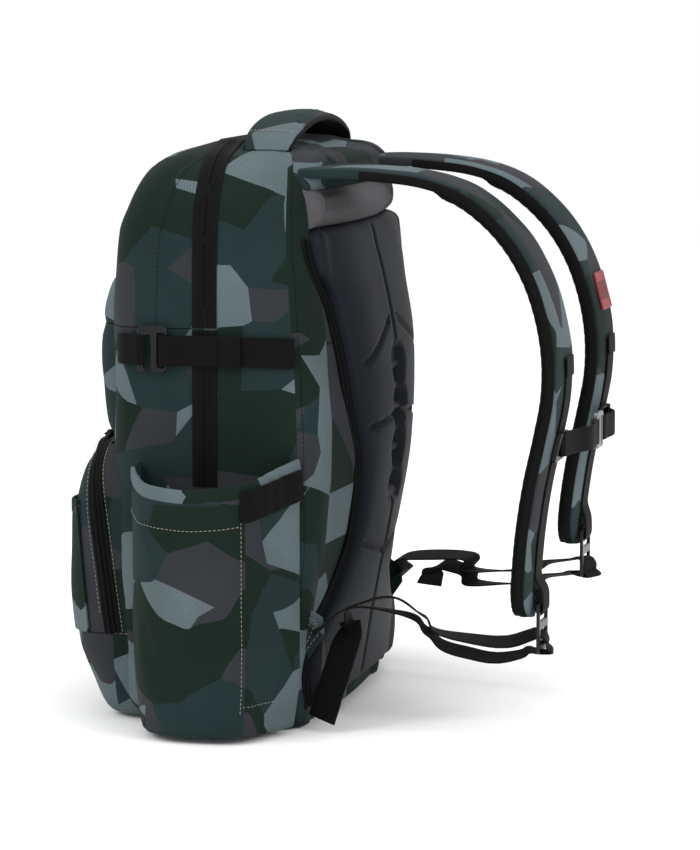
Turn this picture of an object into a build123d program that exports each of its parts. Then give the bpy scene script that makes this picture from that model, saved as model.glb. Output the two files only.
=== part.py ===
"""Tackle backpack: a standing fabric pack with a zipped main flap, pockets, a moulded back panel and a strap harness.

Frame: +Z up from the base, +Y towards the wearer's back, X across the width, all in millimetres.
The origin is the middle of the flat base, under the main compartment.
"""

import math
import os

from build123d import *

os.makedirs("parts", exist_ok=True)

# ---------------------------------------------------------------- driving dimensions
FABRIC = 4.0  # laminated shell: cordura, foam and lining
POCKET_FABRIC = 2.4  # single fabric with a lining
GAP = 0.4  # between pieces that lie on each other
WEB_WIDTH = 25.0
WEB_THICK = 1.6
CORNER = 30.0  # front vertical corners
REAR_GUSSET = 36.0  # width of the sloped rear corner

# Bag outline at rising heights: height, half width, front, side seam, rear gusset and back, along Y.
SECTIONS = (
    (0.0, 134.0, -88.0, 44.0, 52.5, 57.0),
    (16.0, 143.0, -97.0, 46.5, 53.5, 58.5),
    (60.0, 147.0, -101.0, 49.0, 55.0, 60.0),
    (105.0, 149.0, -103.0, 54.0, 61.0, 66.0),
    (160.0, 150.0, -104.0, 58.0, 71.0, 81.0),
    (225.0, 150.0, -105.0, 57.0, 75.0, 91.0),
    (300.0, 150.0, -105.0, 54.0, 73.0, 91.0),
    (350.0, 149.0, -104.0, 50.0, 66.0, 83.0),
    (400.0, 147.0, -101.0, 47.0, 58.0, 71.0),
    (425.0, 142.0, -93.0, 46.0, 56.0, 68.0),
    (448.0, 128.0, -83.0, 43.0, 52.0, 63.0),
    (463.0, 108.0, -67.0, 37.0, 45.0, 54.0),
    (472.0, 76.0, -42.0, 20.0, 27.0, 34.0),
)
TOP = SECTIONS[-1][0]
SHOULDER = 440.0  # above this height the outline closes over the top

FLAP_HEIGHT = 326.0  # the main flap folds forward here
MAIN_ZIP_Y = -20.0
ZIP_TAPE = 10.0  # each half of the tape
ZIP_GAP = 0.8  # between the two halves

POCKET_HINGE_HEIGHT = 72.0
POCKET_ZIP_LOW_Y = -103.0  # lower pocket's zip at the hinge height
POCKET_ZIP_LEAN = 17.0 / 143.0  # it leans forward as it rises
POCKET_ZIP_TAPE = 6.5

STRAP_X = 88.0
STRAP_WIDTH = 66.0
STRAP_HINGE = (74.0, 449.0)  # Y and Z of the seam that each shoulder strap swings on
STRAP_TIP = {"right": 94.0, "left": 126.0}
BUCKLE_Z = {"right": 87.0, "left": 120.0}
BUCKLE_Y = 245.0
STERNUM_Z = 236.0
COMPRESSION_Z = 309.0
SIDES = {"right": 1.0, "left": -1.0}


def save(piece, name):
    """Labels a finished piece and writes it as a STEP file of that name."""
    piece.part.label = name
    export_step(piece.part, f"parts/{name}.step")


def both_sides(make, name):
    """Makes the right-hand piece and its mirror image in the plane X = 0."""
    right = make()
    save(right, f"{name}_right")
    with BuildPart() as left:
        add(mirror(right.part, about=Plane.YZ))
    save(left, f"{name}_left")


def carve(block, keep=(), cut=()):
    """What is left of a block inside every shape in keep and outside every shape in cut."""
    for shape in keep:
        block = block & shape
    for shape in cut:
        block = block - shape
    return block


# ---------------------------------------------------------------- the bag's outline
def body_block(grow):
    """The bag's outline as one solid, moved outwards by grow, or inwards where grow is negative."""
    corner = max(CORNER + grow, 6.0)
    reach = corner * (1 - math.sqrt(0.5))
    with BuildPart() as block:
        for height, half_width, front, seam, gusset, back in SECTIONS:
            share = min(max((height - SHOULDER) / (TOP - SHOULDER), 0.0), 1.0)
            level = height + grow * share if height else -grow
            side, face = half_width + grow, front - grow
            seam_y, gusset_y, back_y = seam, gusset + grow, back + grow
            inner = side - REAR_GUSSET
            slope = math.hypot(REAR_GUSSET, gusset_y - seam_y)
            middle = (
                side - REAR_GUSSET / 2 + 5.0 * (gusset_y - seam_y) / slope,
                (seam_y + gusset_y) / 2 + 5.0 * REAR_GUSSET / slope,
            )
            with BuildSketch(Plane.XY.offset(level)):
                with BuildLine():
                    Line((corner - side, face), (side - corner, face))
                    ThreePointArc((side - corner, face), (side - reach, face + reach), (side, face + corner))
                    Line((side, face + corner), (side, seam_y))
                    ThreePointArc((side, seam_y), middle, (inner, gusset_y))
                    ThreePointArc((inner, gusset_y), (0, back_y), (-inner, gusset_y))
                    ThreePointArc((-inner, gusset_y), (-middle[0], middle[1]), (-side, seam_y))
                    Line((-side, seam_y), (-side, face + corner))
                    ThreePointArc((-side, face + corner), (reach - side, face + reach), (corner - side, face))
                make_face()
        loft(ruled=True)
    return block.part


BODY = body_block(0.0)
BODY_INSIDE = body_block(-FABRIC)
BODY_SKIN = body_block(GAP)


def slab(x_range, y_range, z_range):
    """A plain block between two values on each axis, for cutting."""
    lengths = [high - low for low, high in (x_range, y_range, z_range)]
    centre = [(low + high) / 2 for low, high in (x_range, y_range, z_range)]
    return Pos(*centre) * Box(*lengths)


WIDE = (-260.0, 260.0)
FLAP_FRONT = slab(WIDE, (-260.0, MAIN_ZIP_Y), (FLAP_HEIGHT, 600.0))

# ---------------------------------------------------------------- main compartment
with BuildPart() as main_shell:
    add(carve(BODY, cut=(BODY_INSIDE, FLAP_FRONT)))
save(main_shell, "main_shell")

FLAP_SPACE = slab(WIDE, (-260.0, MAIN_ZIP_Y - ZIP_GAP), (FLAP_HEIGHT + ZIP_GAP, 600.0))
with BuildPart() as main_flap:
    add(carve(BODY, keep=(FLAP_SPACE,), cut=(BODY_INSIDE,)))
save(main_flap, "main_flap")

ZIP_BLOCK = body_block(GAP + 1.1)
REAR_TAPE = slab(WIDE, (MAIN_ZIP_Y + ZIP_GAP / 2, MAIN_ZIP_Y + ZIP_TAPE), (FLAP_HEIGHT + ZIP_GAP, 600.0))
FRONT_TAPE = slab(WIDE, (MAIN_ZIP_Y - ZIP_TAPE, MAIN_ZIP_Y - ZIP_GAP), (FLAP_HEIGHT + ZIP_GAP, 600.0))
with BuildPart() as main_zip_tape_rear:
    add(carve(ZIP_BLOCK, keep=(REAR_TAPE,), cut=(BODY_SKIN,)))
save(main_zip_tape_rear, "main_zip_tape_rear")

with BuildPart() as main_zip_tape_front:
    add(carve(ZIP_BLOCK, keep=(FRONT_TAPE,), cut=(BODY_SKIN,)))
save(main_zip_tape_front, "main_zip_tape_front")

# ---------------------------------------------------------------- inside the main compartment
with BuildPart() as base_board:
    with BuildSketch(Plane.XY.offset(FABRIC + GAP)):
        with Locations((0, -22)):
            RectangleRounded(236, 110, 22)
    extrude(amount=3.0)
save(base_board, "base_board")

SHEET_SPACE = slab((-98.0, 98.0), (40.0, 120.0), (26.0, 400.0))
with BuildPart() as frame_sheet:
    add(carve(body_block(-FABRIC - GAP), keep=(SHEET_SPACE,), cut=(body_block(-FABRIC - GAP - 1.6),)))
save(frame_sheet, "frame_sheet")

DIVIDER_Y = 34.0
with BuildPart() as divider_sleeve:
    with BuildSketch(Plane.XZ.offset(-DIVIDER_Y)):
        with Locations((0, 164)):
            RectangleRounded(276, 300, 24)
    extrude(amount=4.0)
save(divider_sleeve, "divider_sleeve")

# ---------------------------------------------------------------- moulded back panel
PANEL_THICK = 12.0
PANEL_LOW, PANEL_HIGH = 14.0, 407.0
# Half outline of the panel, from the top edge to the bottom: it is waisted between two wide lobes.
PANEL_SIDE = (
    (128.0, 396.0),
    (124.0, 374.0),
    (104.0, 352.0),
    (98.0, 320.0),
    (84.0, 265.0),
    (66.0, 210.0),
    (58.0, 150.0),
    (66.0, 116.0),
    (98.0, 84.0),
    (122.0, 62.0),
    (126.0, 40.0),
)


def panel_outline(margin):
    """The panel's outline seen from the wearer, grown by a margin, as a block along Y."""
    side = [(x + margin, z) for x, z in PANEL_SIDE]
    top, bottom = PANEL_HIGH + margin, PANEL_LOW - margin
    mirrored = [(-x, z) for x, z in side]
    with BuildPart() as block:
        with BuildSketch(Plane.XZ.offset(-30.0)):
            with BuildLine():
                Line((8 - side[0][0], top), (side[0][0] - 8, top))
                ThreePointArc((side[0][0] - 8, top), (side[0][0] - 2, top - 4), side[0])
                Spline(*side)
                ThreePointArc(side[-1], (side[-1][0] - 8, bottom + 8), (side[-1][0] - 28, bottom))
                Line((side[-1][0] - 28, bottom), (28 - side[-1][0], bottom))
                ThreePointArc((28 - side[-1][0], bottom), (8 - side[-1][0], bottom + 8), mirrored[-1])
                Spline(*mirrored[::-1])
                ThreePointArc(mirrored[0], (2 - side[0][0], top - 4), (8 - side[0][0], top))
            make_face()
        extrude(amount=-120.0)
    return block.part


with BuildPart() as back_panel:
    add(carve(body_block(PANEL_THICK), keep=(panel_outline(0.0),), cut=(BODY_SKIN,)))
save(back_panel, "back_panel")

BINDING_SPACE = slab(WIDE, (0.0, 200.0), (0.0, PANEL_HIGH - 20.0))
with BuildPart() as panel_binding:
    add(
        carve(
            body_block(4.0),
            keep=(panel_outline(5.0), BINDING_SPACE),
            cut=(BODY_SKIN, panel_outline(0.3)),
        )
    )
save(panel_binding, "panel_binding")

UPPER_BACK_SPACE = slab((-124.0, 124.0), (30.0, 120.0), (PANEL_HIGH + 1.5, 436.0))
with BuildPart() as upper_back_pad:
    add(carve(body_block(9.0), keep=(UPPER_BACK_SPACE,), cut=(BODY_SKIN,)))
save(upper_back_pad, "upper_back_pad")

YOKE_SPACE = slab((-122.0, 122.0), (41.0, 120.0), (437.0, 500.0))
with BuildPart() as yoke_pad:
    add(carve(body_block(8.0), keep=(YOKE_SPACE,), cut=(BODY_SKIN,)))
save(yoke_pad, "yoke_pad")

# ---------------------------------------------------------------- haul handle
HANDLE_SPAN = 172.0
HANDLE_RISE = 21.0
HANDLE_THICK = 6.0
HANDLE_LINING = 2.2
HANDLE_FRONT, HANDLE_REAR = -6.0, 38.0


def handle_band(low, high):
    """An arched band over the top of the bag, between two heights above the arch's underside."""
    half = HANDLE_SPAN / 2
    foot, crown = TOP + 1.0, TOP + HANDLE_RISE - HANDLE_THICK
    with BuildPart() as band:
        with BuildSketch(Plane.XZ.offset(-HANDLE_FRONT)):
            with BuildLine():
                ThreePointArc((-half, foot + high), (0, crown + high), (half, foot + high))
                Line((half, foot + high), (half, foot + low))
                ThreePointArc((half, foot + low), (0, crown + low), (-half, foot + low))
                Line((-half, foot + low), (-half, foot + high))
            make_face()
        extrude(amount=HANDLE_FRONT - HANDLE_REAR)
        fillet(band.edges().filter_by(Axis.Z), 5.0)
    return band


save(handle_band(HANDLE_LINING + 0.1, HANDLE_THICK + HANDLE_LINING), "haul_handle_pad")
save(handle_band(0.0, HANDLE_LINING), "haul_handle_lining")


# ---------------------------------------------------------------- upper front pocket
def front_layer(sections, corner, rear):
    """A block in front of the bag: rounded rectangles of (height, half width, front), back to a rear plane."""
    with BuildPart() as block:
        for height, half_width, front in sections:
            reach = corner * (1 - math.sqrt(0.5))
            with BuildSketch(Plane.XY.offset(height)):
                with BuildLine():
                    Line((corner - half_width, front), (half_width - corner, front))
                    ThreePointArc(
                        (half_width - corner, front),
                        (half_width - reach, front + reach),
                        (half_width, front + corner),
                    )
                    Line((half_width, front + corner), (half_width, rear))
                    Line((half_width, rear), (-half_width, rear))
                    Line((-half_width, rear), (-half_width, front + corner))
                    ThreePointArc(
                        (-half_width, front + corner),
                        (reach - half_width, front + reach),
                        (corner - half_width, front),
                    )
                make_face()
        loft(ruled=True)
    return block.part


UPPER_FRONT = -118.0
UPPER_POCKET = front_layer(
    (
        (233.0, 122.0, -110.0),
        (262.0, 127.0, -115.5),
        (FLAP_HEIGHT, 128.0, UPPER_FRONT + 0.5),
        (352.0, 126.0, -114.0),
        (366.0, 118.0, -108.0),
    ),
    22.0,
    -84.0,
)
BELOW_FLAP = slab(WIDE, (-200.0, 0.0), (0.0, FLAP_HEIGHT))
ABOVE_FLAP = slab(WIDE, (-200.0, 0.0), (FLAP_HEIGHT + ZIP_GAP, 500.0))
UPPER_POCKET_INSIDE = front_layer(
    (
        (237.0, 119.0, -108.0),
        (262.0, 124.6, -113.1),
        (FLAP_HEIGHT - POCKET_FABRIC, 125.6, UPPER_FRONT + 2.9),
    ),
    20.0,
    -80.0,
)
with BuildPart() as upper_pocket:
    add(carve(UPPER_POCKET, keep=(BELOW_FLAP,), cut=(UPPER_POCKET_INSIDE, BODY_SKIN)))
save(upper_pocket, "upper_pocket")

with BuildPart() as upper_pocket_top:
    add(carve(UPPER_POCKET, keep=(ABOVE_FLAP,), cut=(BODY_SKIN,)))
save(upper_pocket_top, "upper_pocket_top")


# ---------------------------------------------------------------- lower front pocket
LOWER_FRONT = -143.0


def lower_pocket_block(grow, rear=-76.0):
    """The lower front pocket's outer shape, moved outwards by grow, back to a rear plane inside the bag."""
    rising = (
        (1.5, 124.0, -116.0),
        (30.0, 136.0, -131.0),
        (POCKET_HINGE_HEIGHT - 8.0, 140.0, LOWER_FRONT + 1.0),
        (115.0, 141.0, LOWER_FRONT),
        (175.0, 141.0, LOWER_FRONT + 2.0),
        (205.0, 138.0, -136.0),
        (220.0, 131.0, -129.0),
        (229.0, 118.0, -120.0),
    )
    last = len(rising) - 1
    shifted = [
        (z + (grow if i == last else -grow if i == 0 else 0.0), half_width + grow, front - grow)
        for i, (z, half_width, front) in enumerate(rising)
    ]
    return front_layer(shifted, 32.0 + grow, rear)


def leaning_slab(offset_low, offset_high):
    """A slab along the lower pocket's leaning zip line, between two distances behind it."""
    lean = math.degrees(math.atan(POCKET_ZIP_LEAN))
    depth = offset_high - offset_low
    centre = (offset_low + offset_high) / 2
    place = Pos(0, POCKET_ZIP_LOW_Y, POCKET_HINGE_HEIGHT) * Rot(lean, 0, 0)
    return place * Pos(0, centre, 0) * Box(520, depth, 700)


POCKET_OUTSIDE = lower_pocket_block(0.0)
POCKET_INSIDE = lower_pocket_block(-POCKET_FABRIC, -68.0)
POCKET_UNDER_TAPE = lower_pocket_block(0.15, -68.0)
POCKET_OVER_TAPE = lower_pocket_block(1.0)
POCKET_ABOVE = slab(WIDE, (-260.0, 0.0), (POCKET_HINGE_HEIGHT + ZIP_GAP, 400.0))
DOOR_SPACE = leaning_slab(-200.0, -ZIP_GAP)
REAR_TAPE_SPACE = leaning_slab(0.0, POCKET_ZIP_TAPE)
FRONT_TAPE_SPACE = leaning_slab(-POCKET_ZIP_TAPE, -ZIP_GAP)
POCKET_DOOR = leaning_slab(-200.0, 0.0) & slab(WIDE, (-260.0, 0.0), (POCKET_HINGE_HEIGHT, 400.0))
with BuildPart() as lower_pocket_gusset:
    add(carve(POCKET_OUTSIDE, cut=(POCKET_DOOR, POCKET_INSIDE, BODY_SKIN)))
save(lower_pocket_gusset, "lower_pocket_gusset")

with BuildPart() as lower_pocket_flap:
    add(
        carve(
            POCKET_OUTSIDE,
            keep=(POCKET_ABOVE, DOOR_SPACE),
            cut=(POCKET_INSIDE, BODY_SKIN),
        )
    )
save(lower_pocket_flap, "lower_pocket_flap")

with BuildPart() as pocket_zip_tape_rear:
    add(
        carve(
            POCKET_OVER_TAPE,
            keep=(POCKET_ABOVE, REAR_TAPE_SPACE),
            cut=(POCKET_UNDER_TAPE, BODY_SKIN),
        )
    )
save(pocket_zip_tape_rear, "pocket_zip_tape_rear")

with BuildPart() as pocket_zip_tape_front:
    add(
        carve(
            POCKET_OVER_TAPE,
            keep=(POCKET_ABOVE, FRONT_TAPE_SPACE),
            cut=(POCKET_UNDER_TAPE, BODY_SKIN),
        )
    )
save(pocket_zip_tape_front, "pocket_zip_tape_front")

SLIP_SPACE = slab((-137.0, 137.0), (-260.0, -120.0), (POCKET_HINGE_HEIGHT + 1.5, 172.0))
with BuildPart() as slip_pocket:
    add(carve(lower_pocket_block(2.8), keep=(SLIP_SPACE,), cut=(lower_pocket_block(0.4),)))
save(slip_pocket, "slip_pocket")


# ---------------------------------------------------------------- bottle pockets
BOTTLE_OUT = 214.0
BOTTLE_RIM = ((-78.0, 217.0), (-58.0, 207.0), (-18.0, 204.0), (28.0, 209.0), (60.0, 224.0))


def bottle_outline(inset):
    """Plan of the right bottle pocket, from the bag's front corner to its side seam."""
    out = BOTTLE_OUT - inset
    front, rear = -72.0 + inset, 42.0 - inset
    with BuildSketch() as plan:
        with BuildLine():
            Line((140.0, front - 5), (154.0, front - 5))
            ThreePointArc((154.0, front - 5), (out - 14, front + 12), (out, -22.0))
            ThreePointArc((out, -22.0), (out - 3, 10.0), (out - 12, rear - 12))
            Line((out - 12, rear - 12), (154.0, rear + 15))
            Line((154.0, rear + 15), (140.0, rear + 15))
            Line((140.0, rear + 15), (140.0, front - 5))
        make_face()
    return plan.sketch


def bottle_pocket():
    """An open-topped pocket that stands out from the side panel."""
    with BuildPart() as pocket:
        with BuildSketch(Plane.XY.offset(4.0)):
            add(bottle_outline(6.0))
        with BuildSketch(Plane.XY.offset(40.0)):
            add(bottle_outline(0.0))
        with BuildSketch(Plane.XY.offset(230.0)):
            add(bottle_outline(0.0))
        loft(ruled=True)
        with BuildSketch(Plane.XY.offset(4.0 + POCKET_FABRIC)):
            add(bottle_outline(6.0 + POCKET_FABRIC))
        with BuildSketch(Plane.XY.offset(40.0)):
            add(bottle_outline(POCKET_FABRIC))
        with BuildSketch(Plane.XY.offset(240.0)):
            add(bottle_outline(POCKET_FABRIC))
        loft(ruled=True, mode=Mode.SUBTRACT)
    with BuildPart() as above_rim:
        with BuildSketch(Plane.YZ.offset(120.0)):
            with BuildLine():
                Spline(*BOTTLE_RIM)
                Polyline(BOTTLE_RIM[-1], (90.0, 236.0), (90.0, 260.0), (-110.0, 260.0), (-110.0, 236.0), BOTTLE_RIM[0])
            make_face()
        extrude(amount=120.0)
    with BuildPart() as trimmed:
        add(carve(pocket.part, cut=(above_rim.part, BODY_SKIN, lower_pocket_block(1.2))))
    return trimmed


both_sides(bottle_pocket, "bottle_pocket")


def pocket_elastic():
    """The wide elastic along the rim of the pocket's rear pleat."""
    with BuildPart() as strip:
        with BuildSketch(Plane.XY.offset(160.0)):
            with BuildLine():
                Polyline(
                    (BOTTLE_OUT - 15.0, 32.4),
                    (155.0, 57.6),
                    (155.6, 58.8),
                    (BOTTLE_OUT - 14.4, 33.6),
                    (BOTTLE_OUT - 15.0, 32.4),
                )
            make_face()
        extrude(amount=80.0)
    with BuildPart() as limits:
        with BuildSketch(Plane.YZ.offset(130.0)):
            with BuildLine():
                Polyline((40.0, 182.0), (70.0, 192.0), (70.0, 218.0), (40.0, 208.0), (40.0, 182.0))
            make_face()
        extrude(amount=90.0)
    with BuildPart() as elastic:
        add(carve(strip.part, keep=(limits.part,)))
    return elastic


both_sides(pocket_elastic, "pocket_elastic")


# ---------------------------------------------------------------- compression straps and their hooks
SIDE_X = 150.0
HOOK_FRONT, HOOK_REAR = -73.0, -48.0
HOOK_BAR = 4.0


def flat_webbing(x_low, y_range, z_centre, width):
    """A flat length of webbing on the side panel."""
    with BuildPart() as web:
        low, high = y_range
        with Locations((x_low + WEB_THICK / 2, (low + high) / 2, z_centre)):
            Box(WEB_THICK, high - low, width)
        fillet(web.edges().filter_by(Axis.Z), 0.6)
    return web


def compression_webbing():
    """Three solids: the front loop, the long strap sewn at the rear seam, and its doubled end."""
    surface = SIDE_X + 1.1
    loop_end = HOOK_FRONT - 2.0
    with BuildPart() as web:
        add(flat_webbing(surface, (-90.0, loop_end), COMPRESSION_Z, WEB_WIDTH).part)
        add(flat_webbing(surface, (HOOK_REAR + 2.0, 50.0), COMPRESSION_Z, WEB_WIDTH).part)
    return web


def compression_hook():
    """An open wire-form hook: two bars joined along the top, the front one free at its lower end."""
    with BuildPart() as hook:
        with BuildSketch(Plane.YZ.offset(SIDE_X + 4.6)):
            with Locations(((HOOK_FRONT + HOOK_REAR) / 2 - 2.0, COMPRESSION_Z + 1.0)):
                RectangleRounded(HOOK_REAR - HOOK_FRONT, 38.0, 4.0)
            with Locations((HOOK_FRONT + 6.0, COMPRESSION_Z - 2.0)):
                RectangleRounded(6.0, 28.0, 1.5, mode=Mode.SUBTRACT)
            with Locations((HOOK_REAR - 7.0, COMPRESSION_Z)):
                RectangleRounded(6.0, 28.0, 1.5, mode=Mode.SUBTRACT)
            with Locations((HOOK_FRONT + 7.5, COMPRESSION_Z - 17.0)):
                Rectangle(4.0, 6.0, mode=Mode.SUBTRACT)
        extrude(amount=2.6)
        chamfer(hook.edges().group_by(Axis.X)[-1], 0.6)
    return hook


both_sides(compression_webbing, "compression_webbing")
both_sides(compression_hook, "compression_hook")


# ---------------------------------------------------------------- shoulder straps
# Side view of a strap's middle line, as Y and Z, from the yoke over the shoulder and down.
STRAP_LINE = (
    (78.0, 449.0),
    (118.0, 447.5),
    (153.0, 443.0),
    (180.0, 434.0),
    (203.0, 418.0),
    (222.0, 398.0),
    (238.0, 372.0),
    (249.0, 342.0),
    (255.0, 309.0),
    (255.0, 276.0),
    (249.0, 242.0),
    (241.0, 205.0),
    (235.0, 165.0),
    (232.0, 130.0),
    (230.0, 80.0),
)
STRAP_SAMPLES = 22


def offset_points(line, start, end, distance):
    """Points along a side-view line between two shares of its length, moved to its left by a distance."""
    points = []
    for i in range(STRAP_SAMPLES + 1):
        share = start + (end - start) * i / STRAP_SAMPLES
        at, along = line.position_at(share), line.tangent_at(share)
        points.append((at.X - along.Y * distance, at.Y + along.X * distance))
    return points


def side_band(line, start, end, low, high, x_low, x_high):
    """A band that follows a side-view line between two offsets from it, as wide as the X range."""
    outer = offset_points(line, start, end, high)
    inner = offset_points(line, start, end, low)
    with BuildPart() as band:
        with BuildSketch(Plane.YZ.offset(x_low)):
            with BuildLine():
                Spline(*outer)
                Line(outer[-1], inner[-1])
                Spline(*inner[::-1])
                Line(inner[0], outer[0])
            make_face()
        extrude(amount=x_high - x_low)
    return band.part


STRAP_EDGE = Spline(*STRAP_LINE)


def share_at_height(line, height):
    """The share of the line's length at which it comes down past a height."""
    low, high = 0.4, 1.0
    for _ in range(30):
        middle = (low + high) / 2
        low, high = (middle, high) if line.position_at(middle).Y > height else (low, middle)
    return low


def strap_window(tip, width):
    """A block along Y with a rounded lower end, which trims a strap to its width and tip."""
    low, high = tip, 520.0
    with BuildPart() as window:
        with BuildSketch(Plane.XZ.offset(-60.0)):
            with Locations((STRAP_X, (low + high) / 2)):
                rectangle = Rectangle(width, high - low)
            fillet(rectangle.vertices().group_by(Axis.Y)[0], width * 0.42)
        extrude(amount=-240.0)
    return window.part


MESH_START = 0.2
STRAP_LOW, STRAP_MIDDLE, STRAP_HIGH = -8.5, 1.2, 8.0
WEB_TOP = 300.0


def strap_band(side, start, low, high, width):
    """One layer of a shoulder strap, trimmed at its tip."""
    tip = STRAP_TIP[side]
    half = width / 2
    band = side_band(STRAP_EDGE, start, 1.0, low, high, STRAP_X - half, STRAP_X + half)
    with BuildPart() as layer:
        add(carve(band, keep=(strap_window(tip, width),)))
    return layer.part


def strap_cover(side):
    """The camouflage outer layer, from the yoke seam to the tip, thicker where there is no mesh under it."""
    with BuildPart() as cover:
        add(strap_band(side, 0.0, STRAP_MIDDLE, STRAP_HIGH, STRAP_WIDTH))
        add(side_band(STRAP_EDGE, 0.0, MESH_START - 0.01, -4.0, STRAP_MIDDLE + 0.2, STRAP_X - 33.0, STRAP_X + 33.0))
    return cover


def strap_mesh(side):
    """The black spacer-mesh pad on the wearer's side."""
    with BuildPart() as mesh:
        add(strap_band(side, MESH_START, STRAP_LOW, STRAP_MIDDLE - 0.2, STRAP_WIDTH))
    return mesh


def strap_webbing(side):
    """Webbing down the outside of the strap, then a short tongue round the buckle's top bar."""
    tongue_low = BUCKLE_Z[side] + 22.0
    start = share_at_height(STRAP_EDGE, WEB_TOP)
    end = share_at_height(STRAP_EDGE, tongue_low + 22.0)
    half = WEB_WIDTH / 2
    low = STRAP_HIGH + GAP
    foot = offset_points(STRAP_EDGE, start, end, low)[-1]
    with BuildPart() as web:
        add(side_band(STRAP_EDGE, start, end, low, low + WEB_THICK, STRAP_X - half, STRAP_X + half))
        with BuildSketch(Plane.YZ.offset(STRAP_X - half)):
            with BuildLine():
                Polyline(
                    foot,
                    (foot[0] + WEB_THICK, foot[1]),
                    (BUCKLE_Y + 1.0, tongue_low),
                    (BUCKLE_Y - 0.6, tongue_low),
                    foot,
                )
            make_face()
        extrude(amount=WEB_WIDTH)
    return web


def strap_buckle(side):
    """A flat metal glide with three bars and two slots, standing in the plane across the strap."""
    height, width = 42.0, 34.0
    with BuildPart() as buckle:
        with BuildSketch(Plane.XZ.offset(-BUCKLE_Y + 1.3)):
            with Locations((STRAP_X, BUCKLE_Z[side])):
                RectangleRounded(width, height, 4.0)
            with Locations((STRAP_X, BUCKLE_Z[side] + 9.0), (STRAP_X, BUCKLE_Z[side] - 7.0)):
                RectangleRounded(width - 8.0, 9.0, 1.5, mode=Mode.SUBTRACT)
        extrude(amount=-2.6)
        chamfer(buckle.edges().group_by(Axis.Y)[-1], 0.6)
    return buckle


KEEPER_HEIGHT = 24.0


def strap_angle(height):
    """Lean of the strap from the vertical at a height, in degrees, positive where it leans to the bag below."""
    along = STRAP_EDGE.tangent_at(share_at_height(STRAP_EDGE, height))
    return math.degrees(math.atan2(-along.X, -along.Y))


def outer_point(height, distance):
    """The point a distance out from the strap's middle line at a height."""
    share = share_at_height(STRAP_EDGE, height)
    at, along = STRAP_EDGE.position_at(share), STRAP_EDGE.tangent_at(share)
    return at.X - along.Y * distance, at.Y + along.X * distance


def sternum_keeper():
    """A plastic slider that rides on the strap webbing: a plate with two side rails."""
    y, z = outer_point(STERNUM_Z, STRAP_HIGH + GAP + WEB_THICK + 1.8)
    lean = strap_angle(STERNUM_Z)
    with BuildPart() as keeper:
        with BuildSketch(Plane.XZ.offset(-1.5)):
            RectangleRounded(34.0, KEEPER_HEIGHT, 3.0)
        extrude(amount=3.0)
        with Locations((-15.0, -1.6, 0), (15.0, -1.6, 0)):
            Box(3.0, 1.4, KEEPER_HEIGHT - 6.0)
        fillet(keeper.edges().group_by(Axis.Y)[-1], 0.8)
    with BuildPart() as placed:
        add(Pos(STRAP_X, y, z) * Rot(-lean, 0, 0) * keeper.part)
    return placed


STERNUM_Y = 272.0
STERNUM_WIDTH = 20.0


def sternum_webbing(inner_x):
    """Half of the chest strap: a bowed webbing from the keeper to the middle."""
    y, z = outer_point(STERNUM_Z, STRAP_HIGH + GAP + WEB_THICK + 6.0)
    bow = ((STRAP_X + 6.0, y), ((STRAP_X + inner_x) / 2 + 8.0, STERNUM_Y + 4.0), (inner_x, STERNUM_Y))
    with BuildPart() as web:
        with BuildSketch(Plane.XY.offset(STERNUM_Z - STERNUM_WIDTH / 2)):
            with BuildLine():
                ThreePointArc(*bow)
                Line(bow[-1], (bow[-1][0], bow[-1][1] + WEB_THICK))
                ThreePointArc(*[(x, y_at + WEB_THICK) for x, y_at in bow[::-1]])
                Line((bow[0][0], bow[0][1] + WEB_THICK), bow[0])
            make_face()
        extrude(amount=STERNUM_WIDTH)
    return web


def sternum_hook():
    """The hook that joins the two halves of the chest strap, with one open slot."""
    with BuildPart() as hook:
        with BuildSketch(Plane.XZ.offset(-STERNUM_Y + 1.0)):
            with Locations((-2.0, STERNUM_Z)):
                RectangleRounded(26.0, 30.0, 4.0)
            with Locations((4.0, STERNUM_Z), (-8.0, STERNUM_Z)):
                RectangleRounded(5.0, 22.0, 1.5, mode=Mode.SUBTRACT)
            with Locations((-8.0, STERNUM_Z - 13.0)):
                Rectangle(3.4, 6.0, mode=Mode.SUBTRACT)
        extrude(amount=-3.0)
        chamfer(hook.edges().group_by(Axis.Y)[-1], 0.6)
    return hook


def on_side(piece, side):
    """A right-hand piece as it is, or mirrored for the left side."""
    with BuildPart() as placed:
        add(piece.part if side == "right" else mirror(piece.part, about=Plane.YZ))
    return placed


for side in SIDES:
    save(on_side(strap_cover(side), side), f"strap_cover_{side}")
    save(on_side(strap_mesh(side), side), f"strap_mesh_{side}")
    save(on_side(strap_webbing(side), side), f"strap_webbing_{side}")
    save(on_side(strap_buckle(side), side), f"strap_buckle_{side}")
    save(on_side(sternum_keeper(), side), f"sternum_keeper_{side}")
save(on_side(sternum_webbing(11.6), "right"), "sternum_webbing_right")
save(on_side(sternum_webbing(15.6), "left"), "sternum_webbing_left")
save(sternum_hook(), "sternum_hook")

LABEL_Z = 341.0
with BuildPart() as strap_label:
    y, z = outer_point(LABEL_Z, STRAP_HIGH + GAP + 0.6)
    with BuildSketch(Plane.XZ.offset(-0.5)):
        RectangleRounded(36.0, 32.0, 2.0)
    extrude(amount=1.0)
with BuildPart() as placed_label:
    add(Pos(-STRAP_X, y, z) * Rot(-strap_angle(LABEL_Z), 0, 0) * strap_label.part)
save(placed_label, "strap_label")

# ---------------------------------------------------------------- lower webbing
ANCHOR = (133.0, 66.0, 84.0)


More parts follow.
